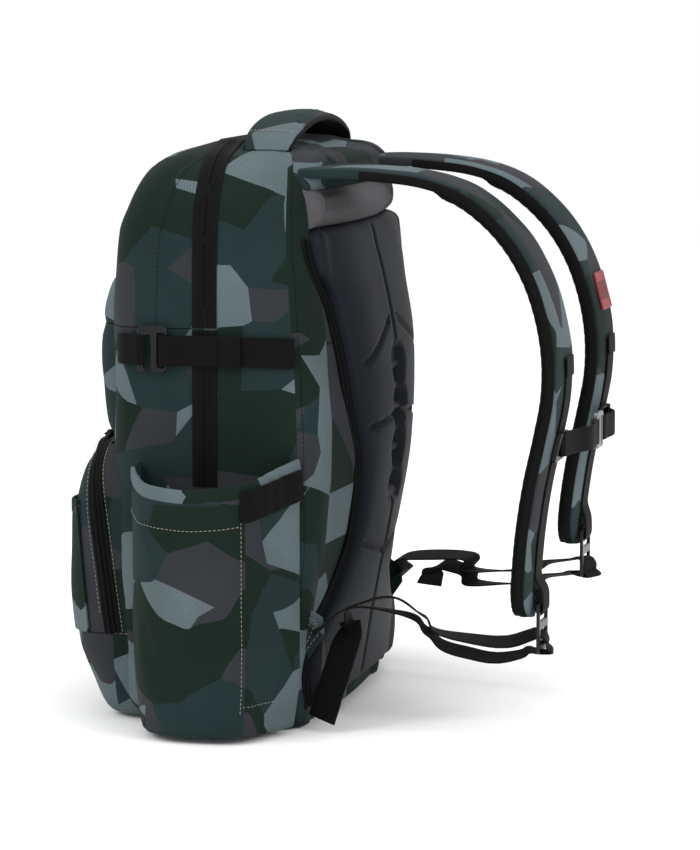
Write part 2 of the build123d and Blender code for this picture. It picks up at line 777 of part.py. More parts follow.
def anchor_wing():
    """The sewn fabric wing at the lower rear corner that holds the end of the webbing."""
    with BuildPart() as wing:
        with BuildSketch(Plane.YZ.offset(127.0)):
            with BuildLine():
                Polyline((46.0, 106.0), (72.0, 92.0), (73.0, 78.0), (50.0, 44.0), (46.0, 44.0), (46.0, 106.0))
            make_face()
        extrude(amount=4.0)
    with BuildPart() as trimmed:
        add(carve(wing.part, cut=(body_block(PANEL_THICK + GAP) & panel_outline(6.0), BODY_SKIN)))
    return trimmed


both_sides(anchor_wing, "anchor_wing")

WEB_START = (134.0, 76.0)
WEB_LEAN = (STRAP_X - WEB_START[0], BUCKLE_Y - WEB_START[1])
WEB_RUN = math.hypot(*WEB_LEAN)
# Heights of the two runs of webbing at shares of the way from the bag to the buckle. The lower run starts with its
# free end, which hangs beside the bag.
UPPER_RUN = {
    "right": ((0.0, 88.0), (0.13, 103.0), (0.27, 110.0), (0.45, 95.0), (0.63, 77.0), (0.8, 73.0), (0.95, 79.0)),
    "left": ((0.0, 88.0), (0.13, 103.0), (0.27, 105.0), (0.42, 93.0), (0.6, 96.0), (0.8, 107.0), (0.95, 112.0)),
}
FREE_END = ((-0.02, 8.0), (0.05, 48.0), (0.12, 80.0))
LOWER_RUN = {
    "right": ((0.22, 101.0), (0.32, 98.0), (0.47, 82.0), (0.64, 65.0), (0.8, 60.0), (0.9, 63.0), (0.95, 67.0)),
    "left": ((0.22, 96.0), (0.32, 93.0), (0.45, 82.0), (0.62, 85.0), (0.8, 95.0), (0.9, 98.0), (0.95, 101.0)),
}


def web_plane():
    """The upright plane from the bag's lower corner to the buckle; its normal points outwards."""
    along = Vector(WEB_LEAN[0], WEB_LEAN[1], 0).normalized()
    return Plane(
        origin=(WEB_START[0], WEB_START[1], 0),
        x_dir=along,
        z_dir=along.cross(Vector(0, 0, 1)),
    )


def hanging_ribbon(points, width):
    """A ribbon of webbing through points in the upright plane, as wide across it as the webbing."""
    line = Spline(*[(share * WEB_RUN, height) for share, height in points])
    upper = offset_points(line, 0.0, 1.0, WEB_THICK / 2)
    lower = offset_points(line, 0.0, 1.0, -WEB_THICK / 2)
    with BuildPart() as ribbon:
        with BuildSketch(web_plane().offset(-width / 2)):
            with BuildLine():
                Spline(*upper)
                Line(upper[-1], lower[-1])
                Spline(*lower[::-1])
                Line(lower[0], upper[0])
            make_face()
        extrude(amount=width)
    return ribbon


for side in SIDES:
    save(on_side(hanging_ribbon(UPPER_RUN[side], WEB_WIDTH), side), f"adjuster_webbing_{side}")
    save(on_side(hanging_ribbon(FREE_END + LOWER_RUN[side], WEB_WIDTH), side), f"adjuster_return_{side}")


# ---------------------------------------------------------------- zip sliders and pulls
def slider_body():
    """A zip slider lying on the XY plane with its run along Y: a tapered body with a raised bridge."""
    with BuildPart() as slider:
        with BuildSketch():
            with BuildLine():
                Polyline((-4.5, -6.0), (4.5, -6.0), (3.0, 6.0), (-3.0, 6.0), (-4.5, -6.0))
            make_face()
        extrude(amount=2.2)
        with Locations((-1.6, 0, 3.4), (1.6, 0, 3.4)):
            Box(1.2, 8.0, 2.8)
        fillet(slider.edges().group_by(Axis.Z)[0], 0.5)
    return slider.part


def pull_tab():
    """A moulded pull, hinged between the slider's ears and lying back along -Y."""
    with BuildPart() as pull:
        with BuildSketch(Plane.XY.offset(3.0)):
            with BuildLine():
                Polyline((-0.7, 0.8), (0.7, 0.8), (0.7, -6.5), (2.6, -9.0), (2.9, -26.0))
                ThreePointArc((2.9, -26.0), (0, -28.9), (-2.9, -26.0))
                Polyline((-2.9, -26.0), (-2.6, -9.0), (-0.7, -6.5), (-0.7, 0.8))
            make_face()
        extrude(amount=1.6)
        fillet(pull.edges().group_by(Axis.Z)[-1], 0.4)
    return pull.part


# Where each slider lies and which way its run goes; a pull hangs along the run's other end.
SLIDERS = {
    "main_zip": Plane(origin=(-150.9, MAIN_ZIP_Y - 0.2, 346.0), x_dir=(0, -1, 0), z_dir=(-1, 0, 0.04)),
    "upper_zip": Plane(origin=(-128.6, -110.6, 312.0), x_dir=(0, -1, 0), z_dir=(-1, 0, 0)),
    "pocket_zip": Plane(origin=(84.0, -122.5, 228.6), x_dir=(0, -0.7071, -0.7071), z_dir=(0, -0.7071, 0.7071)),
}
for name, plane in SLIDERS.items():
    with BuildPart() as slider:
        add(plane.location * slider_body())
    save(slider, f"{name}_slider")
    with BuildPart() as pull:
        add(plane.location * pull_tab())
    save(pull, f"{name}_pull")
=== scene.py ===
"""Tackle backpack: the sewn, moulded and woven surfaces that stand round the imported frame."""

import math

import bmesh
import bpy
import numpy as np
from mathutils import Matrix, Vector
from mathutils.bvhtree import BVHTree


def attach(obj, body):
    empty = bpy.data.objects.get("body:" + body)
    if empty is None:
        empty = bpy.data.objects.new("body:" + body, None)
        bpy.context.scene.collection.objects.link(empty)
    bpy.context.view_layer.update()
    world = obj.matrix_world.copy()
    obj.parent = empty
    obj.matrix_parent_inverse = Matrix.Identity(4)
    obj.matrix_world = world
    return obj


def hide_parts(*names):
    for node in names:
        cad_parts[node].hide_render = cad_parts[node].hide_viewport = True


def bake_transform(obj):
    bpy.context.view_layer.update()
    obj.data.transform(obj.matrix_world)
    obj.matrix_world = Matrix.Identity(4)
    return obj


bl_info = {
    "name": "Tackle Backpack",
    "version": (1, 0, 0),
    "blender": (4, 5, 0),
    "location": "View3D > Sidebar > Backpack",
    "description": "Builds a camouflage tackle backpack round its packed frame",
    "category": "Object",
}

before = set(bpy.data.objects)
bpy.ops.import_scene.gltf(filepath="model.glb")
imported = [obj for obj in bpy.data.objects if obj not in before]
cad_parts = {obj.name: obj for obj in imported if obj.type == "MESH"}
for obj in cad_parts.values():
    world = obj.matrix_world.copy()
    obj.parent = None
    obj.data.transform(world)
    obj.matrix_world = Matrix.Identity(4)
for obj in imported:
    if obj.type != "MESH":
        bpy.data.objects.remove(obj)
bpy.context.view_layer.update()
MM = 0.001

# ---------------------------------------------------------------- sizes of the sewn bag, in millimetres
# Outline at rising heights: height, half width, front, side seam, rear gusset and back, along Y.
SECTIONS = np.array(
    (
        (0.0, 134.0, -88.0, 44.0, 52.5, 57.0),
        (16.0, 143.0, -97.0, 46.5, 53.5, 58.5),
        (60.0, 147.0, -101.0, 49.0, 55.0, 60.0),
        (105.0, 149.0, -103.0, 54.0, 61.0, 66.0),
        (160.0, 150.0, -104.0, 58.0, 71.0, 81.0),
        (225.0, 150.0, -105.0, 57.0, 75.0, 91.0),
        (300.0, 150.0, -105.0, 54.0, 73.0, 91.0),
        (350.0, 149.0, -104.0, 50.0, 66.0, 83.0),
        (400.0, 147.0, -101.0, 47.0, 58.0, 71.0),
        (425.0, 142.0, -93.0, 46.0, 56.0, 68.0),
        (448.0, 128.0, -83.0, 43.0, 52.0, 63.0),
        (463.0, 108.0, -67.0, 37.0, 45.0, 54.0),
        (472.0, 76.0, -42.0, 20.0, 27.0, 34.0),
    )
)
CORNER = 30.0
REAR_GUSSET = 36.0
GUSSET_BULGE = 6.0
CREST = 474.0
CORE = (0.0, -20.0, 230.0)
ZIP_Y = -20.4
FLAP_Z = 326.4
FABRIC = 3.6
STRAP_LINE = (
    (50.0, 448.0),
    (62.0, 448.5),
    (78.0, 449.0),
    (118.0, 447.5),
    (153.0, 443.0),
    (180.0, 434.0),
    (203.0, 418.0),
    (222.0, 398.0),
    (238.0, 372.0),
    (249.0, 342.0),
    (255.0, 309.0),
    (255.0, 276.0),
    (249.0, 242.0),
    (241.0, 205.0),
    (235.0, 165.0),
    (232.0, 130.0),
    (230.0, 80.0),
)
STRAP_TIP = {"right": 94.0, "left": 126.0}
BUCKLE_Z = {"right": 87.0, "left": 120.0}
SIDES = {"right": 1.0, "left": -1.0}


# ---------------------------------------------------------------- curves and grids
def through(knots, at):
    """Monotone cubic through a table's rows: each slope is the harmonic mean of the chords beside it."""
    knots = np.asarray(knots, float)
    x, y = knots[:, 0], knots[:, 1:]
    step = np.diff(x)[:, None]
    chord = np.diff(y, axis=0) / step
    before, after = chord[:-1], chord[1:]
    same = before * after > 0
    mean = np.where(same, 2 * before * after / np.where(same, before + after, 1.0), 0.0)
    slope = np.vstack((chord[:1], mean, chord[-1:]))
    at = np.clip(np.asarray(at, float), x[0], x[-1])
    i = np.clip(np.searchsorted(x, at, side="right") - 1, 0, len(x) - 2)
    h = step[i]
    t = ((at - x[i]) / h[:, 0])[:, None]
    return (
        y[i] * (1 + 2 * t) * (1 - t) ** 2
        + slope[i] * h * t * (1 - t) ** 2
        + y[i + 1] * t * t * (3 - 2 * t)
        + slope[i + 1] * h * t * t * (t - 1)
    )


def smooth_path(points, count):
    """Evenly spaced points on a cubic through the given ones, whose slopes are central differences by
    chord length."""
    points = np.asarray(points, float)
    run = np.concatenate(([0.0], np.cumsum(np.linalg.norm(np.diff(points, axis=0), axis=1))))
    slope = np.gradient(points, run, axis=0)
    fine = np.linspace(0, run[-1], 12 * len(points) + 1)
    i = np.clip(np.searchsorted(run, fine, side="right") - 1, 0, len(run) - 2)
    h = (run[i + 1] - run[i])[:, None]
    t = (fine - run[i])[:, None] / h
    dense = (
        points[i] * (1 + 2 * t) * (1 - t) ** 2
        + slope[i] * h * t * (1 - t) ** 2
        + points[i + 1] * t * t * (3 - 2 * t)
        + slope[i + 1] * h * t * t * (t - 1)
    )
    return even_path(dense, count)


def even_path(points, count):
    """The same line with evenly spaced points, by linear interpolation over its length."""
    points = np.asarray(points, float)
    run = lengths(points)
    at = np.linspace(0, run[-1], count)
    return np.stack([np.interp(at, run, points[:, k]) for k in range(points.shape[1])], axis=1)


def lengths(points):
    """Distance along a line to each of its points."""
    return np.concatenate(([0.0], np.cumsum(np.linalg.norm(np.diff(points, axis=0), axis=1))))


def unit(vectors):
    """Vectors scaled to length one."""
    return vectors / np.maximum(np.linalg.norm(vectors, axis=-1, keepdims=True), 1e-9)


def frames(path, side):
    """Side and normal vectors along a path; the normal is the side vector crossed with the tangent."""
    tangent = unit(np.gradient(path, axis=0))
    side = np.broadcast_to(np.asarray(side, float), path.shape)
    side = unit(side - tangent * np.sum(side * tangent, axis=1, keepdims=True))
    return side, np.cross(side, tangent)


def sweep(path, side, profile, width=1.0, height=1.0):
    """A profile carried along a path: each point is the path plus its two coordinates on the side and the
    normal."""
    side, normal = frames(path, side)
    profile = np.asarray(profile, float)
    across = np.broadcast_to(np.asarray(width, float), (len(path),))[:, None, None]
    up = np.broadcast_to(np.asarray(height, float), (len(path),))[:, None, None]
    if profile.ndim == 2:
        profile = np.broadcast_to(profile, (len(path),) + profile.shape)
    return path[:, None] + side[:, None] * profile[..., :1] * across + normal[:, None] * profile[..., 1:] * up


def round_profile(width, low, high, count=28, power=4.0, crown=0.0):
    """A closed superellipse loop between two heights, with a crown that rises as one minus the square
    across."""
    angle = np.linspace(0, 2 * math.pi, count, endpoint=False) + math.pi / count
    c, s = np.cos(angle), np.sin(angle)
    x = np.sign(c) * np.abs(c) ** (2 / power) * width / 2
    y = (low + high) / 2 + np.sign(s) * np.abs(s) ** (2 / power) * (high - low) / 2
    y = y + crown * (1 - (2 * x / width) ** 2) * (s > 0)
    return np.stack((x, y), axis=1)


def ripple(points, size, seed, waves=6):
    """Low rolling noise from minus one to one: the mean of a few sine waves in seeded directions."""
    rng = np.random.default_rng(seed)
    direction = unit(rng.normal(size=(waves, 3)))
    pitch = size * rng.uniform(0.6, 1.5, waves)
    phase = rng.uniform(0, 2 * math.pi, waves)
    angle = points @ direction.T * (2 * math.pi / pitch) + phase
    return np.sin(angle).mean(axis=-1) * 1.8


def grid_normals(grid, wrap=False):
    """Unit normals of a grid of points: the cross product of its two central differences."""
    if wrap:
        around = np.concatenate((grid[:, -1:], grid, grid[:, :1]), axis=1)
        across = np.gradient(around, axis=1)[:, 1:-1]
    else:
        across = np.gradient(grid, axis=1)
    along = np.gradient(grid, axis=0)
    return unit(np.cross(along, across))


def outward(grid, inside, wrap=False):
    """A grid's normals, turned away from an inner point; where rows run together, the way from that point
    itself."""
    normal = grid_normals(grid, wrap)
    away = unit(grid - np.asarray(inside, float))
    normal = normal * np.sign(np.sum(normal * away))
    return np.where(np.sum(normal * away, axis=-1, keepdims=True) < 0, away, normal)


def grid_uv(grid, wrap=False):
    """Distances along and across a grid, in metres: rows by the mean step, columns by each row's own
    steps."""
    closed = np.concatenate((grid, grid[:, :1]), axis=1) if wrap else grid
    across = np.concatenate(
        (np.zeros((len(grid), 1)), np.cumsum(np.linalg.norm(np.diff(closed, axis=1), axis=2), axis=1)), axis=1
    )
    across = across - across[:, -1:] / 2
    along = np.concatenate(([0.0], np.cumsum(np.linalg.norm(np.diff(closed, axis=0), axis=2).mean(axis=1))))
    return np.stack((across, np.broadcast_to(along[:, None], across.shape)), axis=2) * MM


def grid_quads(rows, columns, wrap=False):
    """Vertex and texture-corner indices of a grid's quads."""
    across = columns if wrap else columns - 1
    i, j = np.meshgrid(np.arange(rows - 1), np.arange(across), indexing="ij")
    i, j = i.ravel(), j.ravel()
    corners = np.stack(((i, j), (i, j + 1), (i + 1, j + 1), (i + 1, j)), axis=0)
    vertex = corners[:, 0] * columns + corners[:, 1] % columns
    texture = corners[:, 0] * (across + 1) + corners[:, 1]
    return vertex.T, texture.T


class Cloth:
    """Collects vertices, faces, texture corners, material slots and panel numbers of one piece."""

    def __init__(self):
        self.points, self.faces, self.corners, self.slots, self.panels = [], [], [], [], []
        self.count = 0

    def add(self, points, faces, uv, slot=0, panel=0.0):
        """Adds faces whose indices start at zero, with a texture coordinate for each corner."""
        self.points.append(np.asarray(points, float).reshape(-1, 3))
        self.faces += [[int(v) + self.count for v in face] for face in faces]
        self.corners += [np.asarray(c, float) for c in uv]
        self.slots += list(np.broadcast_to(slot, len(faces)))
        self.panels += list(np.broadcast_to(panel, len(faces)))
        self.count += len(self.points[-1])

    def tube(self, grid, slot=0, panel=0.0):
        """A closed tube from a grid whose columns wrap, with its two ends closed by fans."""
        rows, columns = grid.shape[:2]
        vertex, texture = grid_quads(rows, columns, True)
        uv = grid_uv(grid, True).reshape(-1, 2)
        base = grid.reshape(-1, 3)
        ends = np.stack((grid[0].mean(axis=0), grid[-1].mean(axis=0)))
        faces, corners = vertex.tolist(), list(uv[texture])
        first, last = len(base), len(base) + 1
        ring = np.arange(columns)
        for centre, row in ((first, 0), (last, rows - 1)):
            a = row * columns + ring
            b = row * columns + (ring + 1) % columns
            flat = (grid[row] - ends[0 if row == 0 else 1]) * MM
            flat = np.stack((np.linalg.norm(flat, axis=1), np.zeros(columns)), axis=1)
            faces += [[centre, p, q] for p, q in zip(a, b)]
            corners += [np.stack((np.zeros(2), flat[k], flat[(k + 1) % columns])) for k in range(columns)]
        self.add(np.vstack((base, ends)), faces, corners, slot, panel)

    def between(self, outer, inner, wrap=False, keep=None, panel=0.0, slots=(0, 0)):
        """A closed sheet between two grids of the same shape: the outer faces, the inner ones turned
        round, and rims."""
        rows, columns = outer.shape[:2]
        vertex, texture = grid_quads(rows, columns, wrap)
        uv = grid_uv(outer, wrap).reshape(-1, 2)
        panel = np.broadcast_to(panel, (rows - 1, columns if wrap else columns - 1)).ravel()
        if keep is not None:
            keep = keep.ravel()
            vertex, texture, panel = vertex[keep], texture[keep], panel[keep]
        total = rows * columns
        edges = np.concatenate([np.stack((vertex[:, k], vertex[:, (k + 1) % 4]), axis=1) for k in range(4)])
        marks = np.concatenate([np.stack((texture[:, k], texture[:, (k + 1) % 4]), axis=1) for k in range(4)])
        owner = np.tile(np.arange(len(vertex)), 4)
        key = np.sort(edges, axis=1)
        key = key[:, 0] * total + key[:, 1]
        _, where, times = np.unique(key, return_index=True, return_counts=True)
        rim = where[times == 1]
        sides = np.stack((edges[rim, 1], edges[rim, 0], edges[rim, 0] + total, edges[rim, 1] + total), axis=1)
        side_uv = np.stack((marks[rim, 1], marks[rim, 0], marks[rim, 0], marks[rim, 1]), axis=1)
        faces = np.concatenate((vertex, vertex[:, ::-1] + total, sides))
        corners = uv[np.concatenate((texture, texture[:, ::-1], side_uv))]
        used, faces = np.unique(faces, return_inverse=True)
        slot = np.repeat((slots[0], slots[1], slots[0]), (len(vertex), len(vertex), len(sides)))
        numbers = np.concatenate((panel, panel, panel[owner[rim]]))
        points = np.concatenate((outer.reshape(-1, 3), inner.reshape(-1, 3)))[used]
        self.add(points, faces.reshape(-1, 4).tolist(), list(corners), slot, numbers)

    def slab(self, grid, thickness, inside, wrap=False, keep=None, panel=0.0, slots=(0, 0), lift=0.0):
        """A sheet with thickness: the grid raised by lift away from an inner point, and the same moved
        back."""
        normal = outward(grid, inside, wrap)
        self.between(grid + normal * lift, grid + normal * (lift - thickness), wrap, keep, panel, slots)

    def build(self, name, materials, body=None, slot=None, replaces=(), smooth=True):
        """Makes the object in metres, flat where it meets the ground, welded and with its faces turned
        outwards."""
        points = np.vstack(self.points) * MM
        points[:, 2] = np.maximum(points[:, 2], 0.0)
        mesh = bpy.data.meshes.new(name)
        mesh.from_pydata(points.tolist(), [], self.faces)
        layer = mesh.uv_layers.new(name="UVMap")
        layer.data.foreach_set("uv", np.vstack(self.corners).astype(np.float32).ravel())
        mesh.polygons.foreach_set("material_index", np.asarray(self.slots, np.int32))
        mesh.attributes.new("panel", "FLOAT", "FACE").data.foreach_set("value",
                                                                       np.asarray(self.panels, np.float32))
        for material in materials:
            mesh.materials.append(material)
        work = bmesh.new()
        work.from_mesh(mesh)
        bmesh.ops.remove_doubles(work, verts=work.verts, dist=1e-6)
        bmesh.ops.recalc_face_normals(work, faces=work.faces)
        work.to_mesh(mesh)
        work.free()
        mesh.polygons.foreach_set("use_smooth", np.full(len(mesh.polygons), smooth))
        if smooth:
            mesh.set_sharp_from_angle(angle=math.radians(50))
        piece = bpy.data.objects.new(name, mesh)
        bpy.context.scene.collection.objects.link(piece)
        if body:
            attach(piece, body)
        if replaces:
            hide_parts(*replaces)
        return piece


def mirrored(grid, sign):
    """A grid as it is, or mirrored in the plane X = 0."""
    return grid * np.array((sign, 1.0, 1.0))


# ---------------------------------------------------------------- colours and materials
def linear(code):
    """A linear colour with alpha from an sRGB hex value, by the sRGB curve."""
    values = [int(code[i : i + 2], 16) / 255 for i in (1, 3, 5)]
    return [v / 12.92 if v <= 0.04045 else ((v + 0.055) / 1.055) ** 2.4 for v in values] + [1.0]


def node(tree, kind, settings=None, links=None):
    """Adds a node, sets its properties and unlinked inputs by name, and links its inputs to other nodes'
    outputs."""
    made = tree.nodes.new(kind)
    for key, value in (settings or {}).items():
        if isinstance(key, int) or key in made.inputs:
            made.inputs[key].default_value = value
        else:
            setattr(made, key, value)
    for key, source in (links or {}).items():
        tree.links.new(source[0].outputs[source[1]], made.inputs[key])
    return made


def material(name, roughness, **settings):
    """A new material with a Principled shader; returns the material, its tree and the shader."""
    made = bpy.data.materials.new(name)
    made.use_nodes = True
    tree = made.node_tree
    shader = tree.nodes["Principled BSDF"]
    shader.inputs["Roughness"].default_value = roughness
    for key, value in settings.items():
        shader.inputs[key.replace("_", " ")].default_value = value
    return made, tree, shader


def weave(tree, pitch_u, pitch_v):
    """Height from zero to one of crossed threads: the product of two sine waves on the texture map, in
    metres."""
    place = node(tree, "ShaderNodeTexCoord")
    turn = node(
        tree,
        "ShaderNodeMapping",
        {"Scale": (2 * math.pi / pitch_u, 2 * math.pi / pitch_v, 1)},
        {"Vector": (place, "UV")},
    )
    split = node(tree, "ShaderNodeSeparateXYZ", {}, {0: (turn, 0)})
    warp = node(tree, "ShaderNodeMath", {"operation": "SINE"}, {0: (split, 0)})
    weft = node(tree, "ShaderNodeMath", {"operation": "SINE"}, {0: (split, 1)})
    cross = node(tree, "ShaderNodeMath", {"operation": "MULTIPLY"}, {0: (warp, 0), 1: (weft, 0)})
    return node(tree, "ShaderNodeMapRange", {"From Min": -1.0, "From Max": 1.0}, {"Value": (cross, 0)})


def bump(tree, shader, height, distance, strength=1.0):
    """Feeds a height into the shader's normal."""
    made = node(tree, "ShaderNodeBump", {"Strength": strength, "Distance": distance}, {"Height": height})
    tree.links.new(made.outputs[0], shader.inputs["Normal"])


def printed_oxford(name, looks, pitch, seed):
    """Coarse polyester oxford with a printed splinter camouflage: two layers of stretched cells set the
    colour, and a painted highlight and painted shade of the weave lighten its crowns and darken its hollows."""
    made, tree, shader = material(name, 0.82, Specular_IOR_Level=0.1, Sheen_Weight=0.02, Sheen_Roughness=0.5)
    place = node(tree, "ShaderNodeTexCoord")
    cut = node(tree, "ShaderNodeAttribute", {"attribute_name": "panel", "attribute_type": "GEOMETRY"})
    jump = node(tree, "ShaderNodeVectorMath", {"operation": "SCALE", 0: (0.317, 0.193, 0.271)},
                {"Scale": (cut, "Fac")})
    moved = node(tree, "ShaderNodeVectorMath", {"operation": "ADD"}, {0: (place, "Object"), 1: (jump, 0)})
    values = []
    # Cells about 90 by 45 mm, leaning two ways, so that their overlaps are splinters.
    for scale, turn in (((11, 17, 25), (0.6, 0.4, 0.3)), ((21, 10, 13), (-0.7, 0.5, -0.4))):
        lean = node(
            tree,
            "ShaderNodeMapping",
            {"Location": (seed * 0.37, seed * 0.61, seed * 0.83), "Rotation": turn, "Scale": scale},
            {"Vector": (moved, 0)},
        )
        cells = node(tree, "ShaderNodeTexVoronoi", {"Scale": 1.0, "Randomness": 1.0}, {"Vector": (lean, 0)})
        values.append(node(tree, "ShaderNodeSeparateColor", {}, {0: (cells, "Color")}))
    ramps = []
    for value, stops in (
        (values[0], ((0.0, looks.camo_green), (0.34, looks.camo_slate), (0.6, looks.camo_charcoal),
                     (0.77, looks.camo_light))),
        (values[1], ((0.0, looks.camo_slate), (0.3, looks.camo_green), (0.58, looks.camo_light),
                     (0.78, looks.camo_charcoal))),
    ):
        ramp = node(tree, "ShaderNodeValToRGB", {}, {0: (value, 0)})
        ramp.color_ramp.interpolation = "CONSTANT"
        while len(ramp.color_ramp.elements) < len(stops):
            ramp.color_ramp.elements.new(1.0)
        for element, (position, colour) in zip(ramp.color_ramp.elements, stops):
            element.position = position
            element.color = linear(colour)
        ramps.append(ramp)
    choose = node(tree, "ShaderNodeMath", {"operation": "GREATER_THAN", 1: 0.56}, {0: (values[1], 1)})
    printed = node(
        tree, "ShaderNodeMix", {"data_type": "RGBA"}, {"Factor": (choose, 0), 6: (ramps[0], 0),
                                                       7: (ramps[1], 0)}
    )
    threads = weave(tree, pitch, pitch)
    grain = node(tree, "ShaderNodeTexNoise", {"Scale": 900.0, "Detail": 2.0}, {"Vector": (place, "Object")})
    wash = node(tree, "ShaderNodeTexNoise", {"Scale": 14.0, "Detail": 3.0}, {"Vector": (place, "Object")})
    height = node(tree, "ShaderNodeMath", {"operation": "MULTIPLY_ADD", 1: 0.35},
                  {0: (grain, "Fac"), 2: (threads, 0)})
    # The weave's height paints shade into the thread hollows and a highlight onto the crowns; the wash below
    # is random tone in the print.
    shade = node(
        tree, "ShaderNodeMapRange", {"From Min": 0.1, "From Max": 1.2, "To Min": 0.55,
                                     "To Max": 1.4}, {"Value": (height, 0)}
    )
    fade = node(tree, "ShaderNodeMapRange", {"From Min": 0.3, "From Max": 0.7, "To Min": 0.86,
                                             "To Max": 1.14}, {"Value": (wash, "Fac")})
    light = node(tree, "ShaderNodeMath", {"operation": "MULTIPLY"}, {0: (shade, 0), 1: (fade, 0)})
    tint = node(tree, "ShaderNodeVectorMath", {"operation": "SCALE"}, {0: (printed, 2), "Scale": (light, 0)})
    tree.links.new(tint.outputs[0], shader.inputs["Base Color"])
    bump(tree, shader, (height, 0), 0.00035, 0.8)
    return made


def woven(name, colour, pitch_u, pitch_v, contrast, depth, roughness=0.8, sheen=0.1):
    """Plain woven cloth or webbing of one colour: the colour is painted lighter on the thread crowns and
    darker in the hollows, a painted highlight and painted shade of the weave."""
    made, tree, shader = material(name, roughness, Specular_IOR_Level=0.06, Sheen_Weight=sheen * 0.1,
                                  Sheen_Roughness=0.45)
    threads = weave(tree, pitch_u, pitch_v)
    place = node(tree, "ShaderNodeTexCoord")
    grain = node(tree, "ShaderNodeTexNoise", {"Scale": 700.0, "Detail": 2.0}, {"Vector": (place, "Object")})
    height = node(tree, "ShaderNodeMath", {"operation": "MULTIPLY_ADD", 1: 0.5},
                  {0: (grain, "Fac"), 2: (threads, 0)})
    # Painted shade in the thread hollows and painted highlight on the crowns, mixed with random grain, scale
    # the colour.
    shade = node(
        tree,
        "ShaderNodeMapRange",
        {"From Min": 0.15, "From Max": 1.35, "To Min": 1 - contrast, "To Max": 1 + contrast},
        {"Value": (height, 0)},
    )
    tint = node(tree, "ShaderNodeVectorMath", {"operation": "SCALE", 0: linear(colour)[:3]},
                {"Scale": (shade, 0)})
    tree.links.new(tint.outputs[0], shader.inputs["Base Color"])
    bump(tree, shader, (height, 0), depth, 0.9)
    return made


def speckled(name, colour, scale, contrast, depth, roughness, **settings):
    """A moulded surface with fine grit: noise in object space varies colour, roughness and height."""
    made, tree, shader = material(name, roughness, **settings)
    place = node(tree, "ShaderNodeTexCoord")
    grit = node(tree, "ShaderNodeTexNoise", {"Scale": scale, "Detail": 3.0, "Roughness": 0.65},
                {"Vector": (place, "Object")})
    wear = node(tree, "ShaderNodeTexNoise", {"Scale": scale / 40, "Detail": 2.0},
                {"Vector": (place, "Object")})
    mixed = node(tree, "ShaderNodeMath", {"operation": "MULTIPLY_ADD", 1: 0.4},
                 {0: (wear, "Fac"), 2: (grit, "Fac")})
    shade = node(
        tree,
        "ShaderNodeMapRange",
        {"From Min": 0.45, "From Max": 0.95, "To Min": 1 - contrast, "To Max": 1 + contrast},
        {"Value": (mixed, 0)},
    )
    tint = node(tree, "ShaderNodeVectorMath", {"operation": "SCALE", 0: linear(colour)[:3]},
                {"Scale": (shade, 0)})
    tree.links.new(tint.outputs[0], shader.inputs["Base Color"])
    rough = node(
        tree,
        "ShaderNodeMapRange",
        {"From Min": 0.4, "From Max": 1.0, "To Min": roughness - 0.08, "To Max": roughness + 0.08},
        {"Value": (mixed, 0)},
    )
    tree.links.new(rough.outputs[0], shader.inputs["Roughness"])
    bump(tree, shader, (grit, "Fac"), depth, 0.7)
    return made


MATERIALS = {}
SHAPES = {}


def prepare_materials(looks):
    """Makes the bag's materials once, from the looks panel."""
    if MATERIALS:
        return MATERIALS
    pitch = looks.weave_pitch
    MATERIALS.update(
        # Heavy polyester oxford, printed: matte with a faint sheen. The weave is drawn coarser than its 0.9
        # mm to show.
        camo=printed_oxford("printed_oxford", looks, pitch, 1.0),
        camo_strap=printed_oxford("printed_oxford_strap", looks, pitch, 5.0),
        # Nylon webbing: ribs across its width every 1.6 mm, soft and nearly black.
        webbing=woven("nylon_webbing", looks.black_cloth, 0.0032, 0.0022, 0.5, 0.0004, 0.72, 0.25),
        # Zip tape and coil: fine twill, a little shinier than the webbing.
        tape=woven("zip_tape", looks.black_cloth, 0.0016, 0.0019, 0.4, 0.0003, 0.6, 0.1),
        # Polyester lining, plain weave and pale enough to find small tackle in.
        lining=woven("plain_lining", looks.lining, 0.0016, 0.0016, 0.18, 0.0001, 0.7, 0.05),
        # Brushed heather mesh: grey yarns in two tones with a deep nap, drawn as painted highlight on the
        # thread crowns and painted shade in the hollows of the weave.
        heather=woven("heather_mesh", looks.heather, 0.0026, 0.0021, 0.55, 0.0006, 0.95, 0.4),
        # Knitted spacer mesh: a matte black face whose tiny holes are painted shade in the weave's hollows.
        mesh=woven("spacer_mesh", looks.mesh_black, 0.0021, 0.0021, 0.6, 0.0004, 0.9, 0.15),
        # Compression-moulded EVA foam: dull, speckled, with a soft highlight.
        foam=speckled("moulded_foam", looks.foam, 1100.0, 0.3, 0.00012, 0.62, Specular_IOR_Level=0.16),
        # Acetal plastic with a spark-eroded mould finish.
        plastic=speckled("moulded_acetal", looks.black_plastic, 2200.0, 0.2, 0.00004, 0.42,
                         Specular_IOR_Level=0.25),
        # Zinc with a black e-coat: smooth, slightly glossy.
        coated=speckled("coated_zinc", looks.black_metal, 1500.0, 0.12, 0.00002, 0.32, Metallic=0.6),
        grey=speckled("grey_zinc", looks.grey_metal, 1500.0, 0.12, 0.00002, 0.34, Metallic=0.75),
        thread=woven("bonded_thread", looks.thread, 0.0012, 0.0012, 0.2, 0.0001, 0.7, 0.1),
        dark_thread=woven("dark_thread", looks.black_cloth, 0.0012, 0.0012, 0.3, 0.0001, 0.6, 0.1),
        rubber=speckled("moulded_rubber", looks.label_red, 900.0, 0.1, 0.00003, 0.5, Specular_IOR_Level=0.4),
        rubber_black=speckled("moulded_rubber_black", looks.black_plastic, 900.0, 0.1, 0.00003, 0.5),
        sheet=speckled("extruded_sheet", looks.black_plastic, 700.0, 0.2, 0.00005, 0.5),
    )
    return MATERIALS


